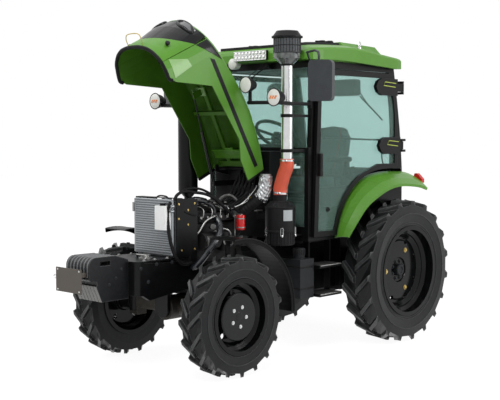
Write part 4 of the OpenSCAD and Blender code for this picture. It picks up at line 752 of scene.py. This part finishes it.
def pipe(bm, points, radius, steps=8, sides=10):
    """A hose or cable on a smooth route given from the rear axle."""
    tube(bm, spline(route(points), steps), radius, sides)


# Engine bay
COOLER_Y = -2.131
FILTER_X, FILTER_Y = 0.262, -1.47
# Above this height the foil wrap stays outside the tipping hood
DUCT_CLEAR_Z, DUCT_CLEAR_X = 1.33, 0.2895


def engine_bay():
    """Cooler tubes, hoses, wiring, pipes, filter, duct and fittings of the open engine."""
    tint("coolant_bottle", BLACK, lambda p, n: p.z > 1.2315)  # its cap

    bm = bmesh.new()
    for k in range(22):
        z = 0.885 + 0.0172 * k
        brick(bm, at(-0.196, -2.1435, z), at(0.196, -2.137, z + 0.008), 0.0015)
    add("condenser_tubes", bm, ALUMINIUM)
    bm = bmesh.new()
    for x in (-0.203, 0.203):
        tube(bm, route([(x, COOLER_Y, 0.868), (x, COOLER_Y, 1.27)]), 0.011, 12)
    for z in (0.868, 1.268):
        tube(bm, route([(-0.2, COOLER_Y, z), (0.2, COOLER_Y, z)]), 0.007, 8)
    disc(bm, at(0.1, -2.075, 1.255), UP, 0.028, 0.022)
    disc(bm, at(0.215, COOLER_Y, 1.225), AHEAD, 0.013, 0.03)
    disc(bm, at(0.215, COOLER_Y, 1.19), AHEAD, 0.01, 0.03)
    add("condenser_ends", bm, ALUMINIUM)

    bm = bmesh.new()
    pipe(bm, [
        (0.205, -2.15, 1.255), (0.203, -2.166, 1.225), (0.192, -2.168, 1.17), (0.205, -2.168, 1.045),
        (0.226, -2.16, 0.94), (0.243, -2.13, 0.85), (0.24, -2.06, 0.8), (0.232, -1.97, 0.8),
    ], 0.013)
    pipe(bm, [
        (0.21, -2.115, 1.262), (0.21, -2.09, 1.305), (0.21, -2.02, 1.33), (0.2, -1.9, 1.318),
        (0.205, -1.8, 1.302), (0.21, -1.71, 1.268), (0.212, -1.62, 1.205), (0.2, -1.52, 1.14),
        (0.17, -1.48, 1.12),
    ], 0.012)
    pipe(bm, [
        (0.185, -2.1, 1.262), (0.18, -2.06, 1.3), (0.172, -1.95, 1.345), (0.17, -1.8, 1.335),
        (0.185, -1.66, 1.265), (0.2, -1.58, 1.18), (0.175, -1.55, 1.13),
    ], 0.0095)
    pipe(bm, [(0.1, -2.07, 1.27), (0.09, -2.09, 1.292), (0.0, -2.08, 1.292), (-0.05, -2.07, 1.26)], 0.006)
    for k in range(14):
        x = 0.04 + 0.014 * k
        sway = 0.03 * sin(2.1 * k)
        pipe(bm, [
            (x * 0.6, -1.175, 1.46 - 0.01 * k), (x * 0.8, -1.24, 1.43 + sway),
            (x + sway, -1.3, 1.36 + 0.5 * sway), (x + 0.02 - sway, -1.38, 1.27 - sway),
            (0.05 + 0.009 * k, -1.46, 1.19 + 0.4 * abs(sway)), (0.06 + 0.007 * k, -1.52 - 0.014 * k, 1.16),
        ], 0.0065 if k % 3 else 0.01, 8, 8)
    pipe(bm, [(0.15, -1.8, 1.14), (0.19, -1.83, 1.16), (0.226, -1.93, 1.15), (0.226, -2.03, 1.18)], 0.007)
    pipe(bm, [(0.24, -1.47, 1.15), (0.23, -1.52, 1.19), (0.19, -1.56, 1.15)], 0.006)
    pipe(bm, [(0.255, -1.47, 1.005), (0.24, -1.5, 0.96), (0.19, -1.56, 0.95)], 0.006)
    add("engine_hoses_and_wiring", bm, RUBBER)

    bm = bmesh.new()
    for k in range(4):
        y = -1.82 + 0.09 * k
        pipe(bm, [
            (0.17, y, 1.1), (0.195, y + 0.01, 1.13), (0.185, y + 0.02, 1.185), (0.12, y + 0.02, 1.205),
            (0.07, y + 0.02, 1.2),
        ], 0.0035, 6, 8)
        bolt(bm, at(0.05, y + 0.05, 1.229), UP, 0.009)
        bolt(bm, at(-0.05, y + 0.05, 1.229), UP, 0.009)
    pipe(bm, [
        (0.2, -1.9, 1.0), (0.222, -1.88, 1.02), (0.235, -1.82, 1.1), (0.235, -1.72, 1.135),
        (0.19, -1.66, 1.13),
    ], 0.006)
    pipe(bm, [(0.18, -1.7, 1.0), (0.21, -1.62, 1.03), (0.225, -1.55, 1.0), (0.18, -1.5, 0.93)], 0.006)
    pipe(bm, [(0.16, -1.47, 1.14), (0.19, -1.36, 1.16), (0.22, -1.31, 1.155), (0.26, -1.22, 1.15)], 0.007)
    for k in range(6):
        disc(bm, at(0.178, -1.82 + 0.07 * k, 1.12), ACROSS, 0.011, 0.012)
        bolt(bm, at(0.118 + 0.006 * (k % 2), -1.8 + 0.06 * k, 1.22), UP, 0.008)
    add("engine_pipes", bm, DULL_STEEL)

    bm = bmesh.new()
    pipe(bm, [
        (0.06, -1.53, 1.2), (0.1, -1.5, 1.26), (0.15, -1.47, 1.275), (0.17, -1.42, 1.235),
    ], 0.014, 8, 16)
    lathe(bm, at(0.232, -1.765, 0.95), AHEAD, [
        (-0.09, 0), (-0.09, 0.03), (0.0, 0.045), (0.06, 0.045), (0.07, 0.03), (0.07, 0),
    ])
    lathe(bm, at(0.255, -1.77, 1.055), (0.8, -0.5, 0.1), [
        (-0.08, 0), (-0.08, 0.012), (0, 0.014), (0.002, 0.022), (0.022, 0.021), (0.026, 0),
    ])
    brick(bm, at(0.118, -1.6, 1.16), at(0.165, -1.5, 1.2), 0.006)
    add("engine_castings", bm, MOTOR)

    # the pale wires among the black harness are a painted highlight, standing in for glints on its cables
    for name, mat, shift, count in (("pale", WHITE, 0.0, 5), ("amber", ORANGE, 0.022, 2)):
        bm = bmesh.new()
        for k in range(count):
            x = 0.1 + 0.028 * k + shift
            sway = 0.025 * sin(1.7 * k + 40 * shift)
            pipe(bm, [
                (x * 0.7, -1.175, 1.42 - 0.02 * k), (x + sway, -1.25, 1.34), (x + 0.03, -1.33, 1.27 + sway),
                (x + 0.02 - sway, -1.42, 1.21), (0.1 + 0.015 * k, -1.5, 1.165),
            ], 0.0026, 8, 6)
        add("engine_wires_" + name, bm, mat)

    bm = bmesh.new()
    lathe(bm, at(FILTER_X, FILTER_Y, 1.012), UP, [
        (0, 0), (0, 0.024), (0.006, 0.033), (0.108, 0.034), (0.116, 0.03), (0.116, 0),
    ], 28)
    add("fuel_filter", bm, RED)
    bm = bmesh.new()
    for z in (1.03, 1.098):
        band(bm, at(FILTER_X, FILTER_Y, z), UP, 0.0335, 0.0018, 0.008)
    brick(bm, at(0.178, -1.478, 1.128), at(0.275, -1.462, 1.136), 0.002)
    brick(bm, at(0.224, -1.505, 0.955), at(0.232, -1.495, 1.13), 0.002)
    brick(bm, at(0.145, -1.505, 0.955), at(0.232, -1.495, 0.963), 0.002)
    add("fuel_filter_bracket", bm, DULL_STEEL)

    bm = bmesh.new()
    sleeve = [
        (0.165, -1.46, 1.12), (0.165, -1.425, 1.12), (0.183, -1.385, 1.134), (0.222, -1.352, 1.172),
        (0.272, -1.318, 1.215), (0.312, -1.285, 1.258),
    ]
    path = spline(route(sleeve), 8)
    tube(bm, path, [0.0475 + 0.0018 * sin(2.2 * k) for k in range(len(path))], 20)
    add("duct_sleeve", bm, RUBBER)

    bm = bmesh.new()
    path = spline(route([
        (0.3, -1.295, 1.245), (0.322, -1.275, 1.285), (0.331, -1.264, 1.34), (0.332, -1.262, 1.425),
    ]), 12)
    tube(bm, path, 0.05, 40)
    for v in bm.verts:
        spread = v.co - min(path, key=lambda p: (p - v.co).length)
        x, y, z = v.co
        crease = sin(310 * x + 90 * z) + sin(270 * y - 140 * z) + sin(190 * (x + z))
        v.co += spread * 0.05 * crease
        if v.co.z > DUCT_CLEAR_Z:
            v.co.x = max(v.co.x, DUCT_CLEAR_X)
    add("foil_wrap", bm, FOIL)

    bm = bmesh.new()
    pipe(bm, [
        (0.13, -1.33, 1.22), (0.15, -1.29, 1.26), (0.16, -1.25, 1.25), (0.15, -1.21, 1.21),
        (0.14, -1.19, 1.22),
    ], 0.005)
    ring(bm, at(0.238, -1.8, 0.92), 0.02, 0.008, 24, ASTERN, UP)
    tube(bm, route([(0.15, -1.8, 0.92), (0.238, -1.8, 0.92)]), 0.012, 10)
    add("dipstick_and_ring", bm, YELLOW)

    bm = bmesh.new()
    for y, z in (
        (-2.088, 1.24), (-2.089, 1.133), (-1.995, 1.193), (-1.995, 1.086), (-2.06, 0.9), (-1.93, 0.9),
        (-1.93, 1.24),
    ):
        for s in (1, -1):
            bolt(bm, at(s * 0.228, y, z), (s, 0, 0), 0.005)
    add("shroud_bolts", bm, GOLD)

    bm = bmesh.new()
    brick(bm, at(-0.222, -2.15, 1.17), at(-0.205, -2.12, 1.24), 0.003)
    for s in (1, -1):
        for y in (-2.4, -2.3, -2.18):
            bolt(bm, at(s * 0.2, y, 0.85), UP, 0.009)
    lathe(bm, at(0.09, -2.29, 0.85), UP, [
        (0, 0), (0, 0.05), (0.008, 0.05), (0.012, 0.035), (0.03, 0.035), (0.034, 0),
    ])
    pipe(bm, [
        (0.15, -2.35, 0.852), (0.13, -2.32, 0.875), (0.05, -2.33, 0.878), (-0.02, -2.28, 0.87),
        (-0.05, -2.25, 0.852),
    ], 0.006)
    add("tray_fittings", bm, DULL_STEEL)


# Lamps, roof and mirrors
LAMP_Y = -1.53
BLINKER_X, BLINKER_Z = 0.655, 2.022


def lamps_and_roof():
    """Lenses and rims of lamps, light bar, roof lamp and knobs, lifting eyes, mirrors and tail reflectors."""
    tint("work_lamps", LENS, lambda p, n: p.z > 2.345 and p.y < -1.085 and n.y < -0.9)  # light bar
    for name, x, z, r in (("work", 0.37, 2.122, 0.062), ("blinker", BLINKER_X, BLINKER_Z, 0.066)):
        bm = bmesh.new()
        for s in (1, -1):
            lathe(bm, at(s * x, LAMP_Y + 0.002, z), AHEAD, [
                (0, 0), (0, r - 0.004), (0.004, r - 0.006), (0.01, 0.6 * r), (0.012, 0.3 * r), (0.0125, 0),
            ], 36)
        add(name + "_lamp_lenses", bm, LENS)
        bm = bmesh.new()
        for s in (1, -1):
            middle = at(s * x, LAMP_Y, z)
            ring(bm, middle, r - 0.002, 0.004, 40, ACROSS, UP)
            disc(bm, middle + 0.075 * ASTERN, ASTERN, 0.5 * r, 0.02)
        add(name + "_lamp_rims", bm, PLASTIC)
    bm = bmesh.new()
    for s in (1, -1):
        middle = at(s * BLINKER_X, LAMP_Y - 0.011, BLINKER_Z)
        for row in range(3):
            for k in range(2):
                x, z = -0.034 + 0.024 * row + 0.008 * k, 0.012 * k
                low, high = Vector((x, -0.0015, z - 0.012)), Vector((x + 0.014, 0.006, z))
                brick(bm, middle + low, middle + high, 0.001)
    add("blinker_marks", bm, ORANGE)

    bm = bmesh.new()
    for row in range(2):
        for k in range(9):
            lathe(bm, at(-0.152 + 0.038 * k, -1.089, 2.366 + 0.034 * row), AHEAD, [
                (0, 0), (0, 0.015), (0.003, 0.014), (0.005, 0.006), (0.005, 0),
            ], 16)
    for z in (2.348, 2.383, 2.418):
        tube(bm, route([(-0.178, -1.091, z), (0.178, -1.091, z)]), 0.003, 8)
    add("light_bar_cells", bm, STEEL)

    bm = bmesh.new()
    lathe(bm, at(-0.205, -1.02, 2.327), AHEAD, [
        (0, 0), (0, 0.04), (0.05, 0.046), (0.062, 0.044), (0.07, 0.03), (0.072, 0),
    ], 32)
    add("roof_lamp", bm, LENS)

    roof = ("roof", "roof_hatch")
    bm = bmesh.new()
    for x, y in ((0.37, -0.62), (0.37, -0.52), (-0.37, -0.62), (-0.37, -0.52)):
        foot = cast(roof, at(x, y, 3.0), DOWN, 0)
        lathe(bm, foot, UP, [(-0.004, 0), (-0.004, 0.034), (0.012, 0.03), (0.02, 0.022), (0.022, 0)])
        tube(bm, [foot + Vector((0.03, -0.02, 0.008)), foot + Vector((0.0, -0.085, 0.006))], 0.008, 8)
    add("hatch_knobs", bm, PLASTIC)
    bm = bmesh.new()
    for s in (1, -1):
        foot = cast(roof, at(s * 0.5, -0.293, 3.0), DOWN, 0)
        lathe(bm, foot, UP, [(-0.006, 0), (-0.006, 0.018), (0.01, 0.018), (0.014, 0.01), (0.02, 0)])
        ring(bm, foot + UP * 0.036, 0.02, 0.0055, 24, ASTERN, UP)
    add("lifting_eyes", bm, STEEL)

    bm = bmesh.new()
    for s in (1, -1):
        turn = Matrix.Rotation(radians(20 * s), 3, "Z")
        middle = at(s * 0.828, -1.19, 2.15) + turn @ Vector((0, 0.0325, 0))
        brick(bm, middle - Vector((0.08, 0.002, 0.137)), middle + Vector((0.08, 0.002, 0.137)), 0.0015, turn)
    add("mirror_glass", bm, MIRROR)

    bm = bmesh.new()
    for s in (1, -1):
        brick(bm, at(s * 0.643 - 0.036, 0.413, 1.335), at(s * 0.643 + 0.036, 0.418, 1.362), 0.002)
    add("tail_lamp_reflectors", bm, ORANGE)


# Cab
def cab():
    """Wipers, door rails and knobs, hinge outlines, consoles, levers, pedals and roof lining of the cab."""
    bm = bmesh.new()
    pipe(bm, [(0.1, -0.985, 2.3), (0.0, -0.99, 2.25), (-0.09, -1.0, 2.19), (-0.2, -1.01, 2.1)], 0.005, 4, 6)
    pipe(bm, [
        (0.06, -0.985, 2.31), (-0.04, -0.99, 2.26), (-0.13, -1.0, 2.2), (-0.2, -1.01, 2.12),
    ], 0.004, 4, 6)
    pipe(bm, [(-0.14, -1.008, 2.2), (-0.27, -1.018, 1.98)], 0.007, 4, 6)
    pipe(bm, [(0.11, 0.205, 2.16), (0.2, 0.212, 2.04), (0.34, 0.232, 1.9)], 0.005, 4, 6)
    pipe(bm, [(0.13, 0.212, 2.09), (0.36, 0.238, 1.875)], 0.007, 4, 6)
    lathe(bm, at(0.1, -0.985, 2.305), (0, -1, 0.1), [(-0.03, 0), (-0.03, 0.02), (0.01, 0.018), (0.014, 0)])
    add("wipers", bm, PLASTIC)

    for side, s in SIDES:
        body = "door_" + side
        bm = bmesh.new()
        pipe(bm, [
            (s * 0.56, -0.8, 1.722), (s * 0.545, -0.79, 1.72), (s * 0.542, -0.6, 1.716),
            (s * 0.542, -0.2, 1.706), (s * 0.545, 0.0, 1.702), (s * 0.56, 0.01, 1.7),
        ], 0.008)
        pipe(bm, [
            (s * 0.545, -0.02, 1.7), (s * 0.542, -0.02, 1.55), (s * 0.545, 0.02, 1.46),
            (s * 0.56, 0.03, 1.455),
        ], 0.006)
        lathe(bm, at(s * 0.574, -0.793, 1.149), (s, 0, 0), [
            (-0.012, 0), (-0.012, 0.02), (0.004, 0.02), (0.008, 0.012), (0.016, 0.01), (0.016, 0),
        ])
        lathe(bm, at(s * 0.62, -0.923, 1.57), (s, 0, 0), [
            (-0.002, 0), (-0.002, 0.01), (0.004, 0.009), (0.005, 0),
        ])
        add("door_rail_" + side, bm, PLASTIC, body)
        bm = bmesh.new()
        for corners in (
            [(0.07, 2.182), (-0.083, 2.19), (-0.104, 2.16), (0.062, 2.15)],
            [(0.118, 1.687), (-0.02, 1.697), (-0.046, 1.664), (0.108, 1.65)],
        ):
            tube(bm, spline(route([(s * 0.6185, y, z) for y, z in corners]), 1), 0.0035, 6)
        add("hinge_outline_" + side, bm, LIME, body)

    bm = bmesh.new()
    brick(bm, at(-0.05, 0.03, 2.09), at(0.2, 0.14, 2.235), 0.02)
    brick(bm, at(-0.42, -0.92, 2.275), at(0.42, 0.06, 2.325), 0.02)
    brick(bm, at(0.33, -0.62, 1.15), at(0.47, -0.05, 1.32), 0.03)
    brick(bm, at(-0.47, -0.62, 1.15), at(-0.33, -0.05, 1.32), 0.03)
    brick(bm, at(-0.165, -0.9, 1.58), at(0.165, -0.815, 1.66), 0.02, Matrix.Rotation(radians(-35), 3, "X"))
    for x, y in ((0.38, -0.45), (0.42, -0.3), (0.38, -0.18), (-0.38, -0.4)):
        pipe(bm, [(x, y, 1.3), (x, y - 0.01, 1.38), (x, y - 0.03, 1.45)], 0.006, 4, 8)
        lathe(bm, at(x, y - 0.03, 1.44), UP, [(0, 0), (0, 0.012), (0.02, 0.017), (0.036, 0.012), (0.04, 0)])
    for x in (-0.14, 0.1, 0.17):
        slant = Matrix.Rotation(radians(-30), 3, "X")
        brick(bm, at(x - 0.03, -0.74, 0.98), at(x + 0.03, -0.66, 1.0), 0.005, slant)
        pipe(bm, [(x, -0.72, 0.985), (x, -0.78, 0.99), (x, -0.82, 1.05)], 0.008, 4, 8)
    add("cab_interior", bm, PLASTIC)

    bm = bmesh.new()
    lathe(bm, at(0, -0.74, 1.735), (0, 0.6157, 0.788), [
        (0.008, 0), (0.008, 0.046), (0.016, 0.042), (0.02, 0.02), (0.02, 0),
    ])
    add("steering_boss", bm, PLASTIC, "steering_wheel")


# Seat
CUSHION_FACE = 0.008
CUSHION_PRESSURE = 4.0
CUSHION_STEPS = 20
CUSHION_SWELL = 0.024  # the most that a cushion's surface moves


def inflate(obj):
    """Fills a closed form as a stuffed cushion: fine even faces, cloth under inner pressure, and a cap on how
    far a point may move."""
    def settled():
        state = obj.evaluated_get(bpy.context.evaluated_depsgraph_get())
        return bpy.data.meshes.new_from_object(state)

    remesh = obj.modifiers.new("even faces", "REMESH")
    remesh.mode = "VOXEL"
    remesh.voxel_size = CUSHION_FACE
    obj.data = settled()
    obj.modifiers.clear()
    rest = [v.co.copy() for v in obj.data.vertices]
    cloth = obj.modifiers.new("stuffing", "CLOTH")
    cloth.settings.use_pressure = True
    cloth.settings.uniform_pressure_force = CUSHION_PRESSURE
    cloth.settings.effector_weights.gravity = 0
    for step in range(1, CUSHION_STEPS + 1):
        bpy.context.scene.frame_set(step)
    filled = settled()
    obj.modifiers.clear()
    for v, start in zip(filled.vertices, rest):
        move = v.co - start
        if move.length > CUSHION_SWELL:
            v.co = start + move * (CUSHION_SWELL / move.length)
    bpy.context.scene.frame_set(1)
    obj.data = filled
    shade(filled)
    soft = obj.modifiers.new("soft", "SUBSURF")
    soft.levels = 1
    soft.render_levels = 1


def seat():
    """A stuffed seat and back with piped stripes, arms and a suspension box."""
    bm = bmesh.new()
    brick(bm, at(-0.225, -0.53, 1.275), at(0.225, -0.12, 1.355), 0.035)
    cushion = add("seat_cushion", bm, CLOTH)
    bm = bmesh.new()
    half = [(0.13, 0.475), (0.195, 0.4), (0.215, 0.25), (0.205, 0.02)]
    outline = [(-x, z) for x, z in half[::-1]] + [(0, 0.495)] + half
    lean = Matrix.Rotation(radians(-17), 3, "X")
    foot = at(0, -0.155, 1.375)
    slab(bm, [foot + lean @ Vector((x, 0, z)) for x, z in outline], lean @ Vector((0, 0.075, 0)))
    backrest = add("seat_back", bm, CLOTH)
    for pad in (cushion, backrest):
        inflate(pad)
    bm = bmesh.new()
    for s in (1, -1):
        edge = [
            foot + lean @ Vector((s * x, -0.019, z))
            for x, z in ((0.13, 0.04), (0.135, 0.2), (0.13, 0.36), (0.1, 0.44))
        ]
        tube(bm, spline(edge, 6), 0.007, 8)
        tube(bm, spline(route([
            (s * 0.13, -0.5, 1.371), (s * 0.135, -0.33, 1.377), (s * 0.13, -0.16, 1.371),
        ]), 6), 0.006, 8)
    add("seat_stripes", bm, STRIPE)
    bm = bmesh.new()
    brick(bm, at(-0.17, -0.49, 1.1505), at(0.17, -0.15, 1.262), 0.012)
    for k in range(4):
        z = 1.165 + 0.024 * k
        brick(bm, at(-0.178, -0.498, z), at(0.178, -0.142, z + 0.012), 0.005)
    for s in (1, -1):
        brick(bm, at(s * 0.273 - 0.027, -0.39, 1.512), at(s * 0.273 + 0.027, -0.11, 1.558), 0.018)
        brick(bm, at(s * 0.246 - 0.016, -0.15, 1.382), at(s * 0.246 + 0.016, -0.1, 1.52), 0.008)
    base = add("seat_base", bm, PLASTIC)
    for piece in (base, cushion, backrest):
        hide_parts("seat")


# Chassis
WEIGHT_PITCH = 0.037
PLATE_Y = -2.905


def rounded(node, width):
    """Rounds the edges of a CAD node for the eye; its own mesh stays."""
    bevel = NODES[node].modifiers.new("rounded edges", "BEVEL")
    bevel.width = width
    bevel.segments = 2
    bevel.limit_method = "ANGLE"
    bevel.angle_limit = radians(35)
    bevel.harden_normals = False


def chassis_trims():
    """Weight ridges pale as a painted highlight, low chamfers of the weights paler as a painted reflection,
    fender liners, step treads, tank straps and caps, plate ring, frame bolts, and edges and hooks of the
    mudguards."""
    rounded("front_weights", 0.006)
    tint("front_weights", FLOOR_REFLECTION, lambda p, n: p.z < 0.7 and n.y < -0.5 and n.z < -0.2)  # low chamfers, painted paler as a reflection of the pale floor
    bm = bmesh.new()
    corner_y, corner_z, bend = -2.772, 0.835, 0.0585
    rim = [(-2.6, 0.892), (-2.7, 0.8935), (corner_y, 0.8935)]
    for degrees in range(15, 91, 15):
        a = radians(degrees)
        rim.append((corner_y - bend * sin(a), corner_z + bend * cos(a)))
    rim += [(-2.8305, 0.8), (-2.8305, 0.765)]
    # each ridge is pale grey, a painted highlight along a weight's rounded top
    for k in range(-3, 4):
        tube(bm, route([(WEIGHT_PITCH * k, y, z) for y, z in rim]), 0.0095, 8)
    add("weight_ridges", bm, RIDGE_HIGHLIGHT)
    bm = bmesh.new()
    for s in (1, -1):
        brick(bm, at(s * 0.473 - 0.003, -0.45, 0.93), at(s * 0.473 + 0.003, 0.34, 1.2), 0.001)
    add("fender_liners", bm, PLASTIC)
    bm = bmesh.new()
    for s in (1, -1):
        for z in (0.712, 0.482):
            for k in range(9):
                y = -0.905 + 0.029 * k
                tube(bm, route([(s * 0.445, y, z), (s * 0.598, y, z)]), 0.004, 6)
            tube(bm, route([(s * 0.604, -0.915, z - 0.004), (s * 0.604, -0.655, z - 0.004)]), 0.005, 8)
    add("step_treads", bm, DULL_STEEL)

    bm = bmesh.new()
    for s in (1, -1):
        cap = at(s * 0.47, -1.02, 0.8)
        for way in ways(18):
            foot = cap + 0.046 * way
            tube(bm, [foot, foot + UP * 0.045], 0.004, 6)
        disc(bm, cap + UP * 0.046, UP, 0.04, 0.008)
        for z in (0.53, 0.7):
            brick(bm, at(s * 0.433 - 0.1255, -1.108, z), at(s * 0.433 + 0.1255, -0.937, z + 0.018), 0.003)
    add("tank_straps_and_caps", bm, PLASTIC)

    bm = bmesh.new()
    ring(bm, at(-0.165, PLATE_Y, 0.76), 0.014, 0.004, 20, ACROSS, UP)
    tube(bm, route([(-0.151, PLATE_Y, 0.76), (-0.138, PLATE_Y, 0.76)]), 0.005, 8)
    for x in (-0.12, 0.12):
        for z in (0.675, 0.815):
            disc(bm, at(x, -2.914, z), AHEAD, 0.006, 0.003)
    add("plate_ring", bm, STEEL)

    bm = bmesh.new()
    for s in (1, -1):
        for y, z in ((-2.6, 0.74), (-2.66, 0.7), (-2.55, 0.8)):
            bolt(bm, at(s * 0.1275, y, z), (s, 0, 0), 0.008)
        for y, z in ((-2.45, 0.8), (-2.3, 0.82), (-2.15, 0.82), (-2.05, 0.8), (-2.38, 0.7)):
            bolt(bm, at(s * 0.22, y, z), (s, 0, 0), 0.009)
    add("frame_bolts", bm, GREY)

    for side, s in SIDES:
        bm = bmesh.new()
        wheel = at(s * 0.7135, FRONT_AXLE_Y, FRONT_AXLE_Z)
        edge = [around(wheel, 0.562, -2 + 101 * k / 30) for k in range(31)]
        tube(bm, edge, 0.006, 8)
        tube(bm, [p - s * 0.2375 * ACROSS for p in edge], 0.006, 8)
        for degrees in (8, 52, 96):
            way = around(Vector((0, 0, 0)), 1, degrees)
            disc(bm, wheel - s * 0.06 * ACROSS + 0.5605 * way, way, 0.009, 0.005)
        add("mudguard_edge_" + side, bm, RUBBER, "knuckle_" + side)
        bm = bmesh.new()
        hook = [(-1.872, 0.993), (-1.862, 0.955), (-1.825, 0.932), (-1.785, 0.94), (-1.772, 0.975)]
        pipe(bm, [(s * 0.474, y, z) for y, z in hook], 0.006, 6, 8)
        add("mudguard_hook_" + side, bm, DULL_STEEL, "knuckle_" + side)


# Stage
def seen_rays(tree):
    """1 for rays from the camera and for those that mirrors and glass send on, else 0."""
    path = make(tree, "LightPath", {}, {})
    found = path.outputs["Is Camera Ray"]
    for kind in ("Is Transmission Ray", "Is Glossy Ray"):
        either = make(tree, "Math", {}, {0: found, 1: path.outputs[kind]})
        either.operation = "MAXIMUM"
        found = either.outputs[0]
    return found


def stage():
    """A pale floor, soft lamps all round, and a white surround for the camera, mirrors and glass."""
    world = bpy.data.worlds.new("studio")
    bpy.context.scene.world = world
    world.use_nodes = True
    tree = world.node_tree
    light = tree.nodes["Background"]
    put(light, {"Color": (1, 1, 1, 1), "Strength": 0.3})
    seen = make(tree, "Background", {"Color": (1, 1, 1, 1), "Strength": 1.0}, {})
    mix = make(tree, "MixShader", {}, {"Fac": seen_rays(tree), 1: light.outputs[0], 2: seen.outputs[0]})
    tree.links.new(mix.outputs[0], tree.nodes["World Output"].inputs["Surface"])

    bpy.ops.mesh.primitive_plane_add(size=60, location=(0, 0, -0.001))
    floor = bpy.context.object
    floor.name = "floor"
    pale, tree, shader = blank("floor")
    put(shader, {"Base Color": (0.8, 0.8, 0.8, 1), "Roughness": 0.9})
    lit = make(tree, "Emission", {"Strength": 1.25}, {})
    share = make(tree, "Math", {1: 0.75}, {0: seen_rays(tree)})
    share.operation = "MULTIPLY"
    mix = make(tree, "MixShader", {}, {"Fac": share.outputs[0], 1: shader.outputs[0], 2: lit.outputs[0]})
    tree.links.new(mix.outputs[0], tree.nodes["Material Output"].inputs["Surface"])
    floor.data.materials.append(pale)

    lamps = [
        ("key", at(3.8, -6.6, 7.6), 3.5, 370),
        ("fill", at(-5.0, -5.0, 6.0), 5.0, 130),
        ("side", at(6.5, 2.5, 3.5), 3.0, 170),
        ("top", at(0, -1, 7.0), 6.0, 110),
    ]
    for name, place, size, power in lamps:
        data = bpy.data.lights.new(name, "AREA")
        data.size = size
        data.energy = power
        lamp = bpy.data.objects.new(name, data)
        lamp.location = place
        aim = at(0, -1, 1) - place
        lamp.rotation_euler = aim.to_track_quat("-Z", "Y").to_euler()
        bpy.context.collection.objects.link(lamp)


def camera():
    """The photograph's standpoint: its place, turn about the upright, tilt and lens."""
    place = at(5.66446, -7.12994, 1.74311)
    turn = radians(43.145)
    tilt = radians(3.65)
    back = Vector((sin(turn) * cos(tilt), -cos(turn) * cos(tilt), sin(tilt)))
    data = bpy.data.cameras.new("camera")
    data.sensor_width = 36
    data.lens = 73.22
    data.clip_end = 200
    eye = bpy.data.objects.new("camera", data)
    eye.matrix_world = Matrix.Translation(place) @ back.to_track_quat("Z", "Y").to_matrix().to_4x4()
    bpy.context.collection.objects.link(eye)
    bpy.context.scene.camera = eye


wheels()
hood_trims()
air_intake()
engine_bay()
lamps_and_roof()
cab()
seat()
chassis_trims()
stage()
camera()
bpy.context.scene.view_settings.view_transform = "Standard"
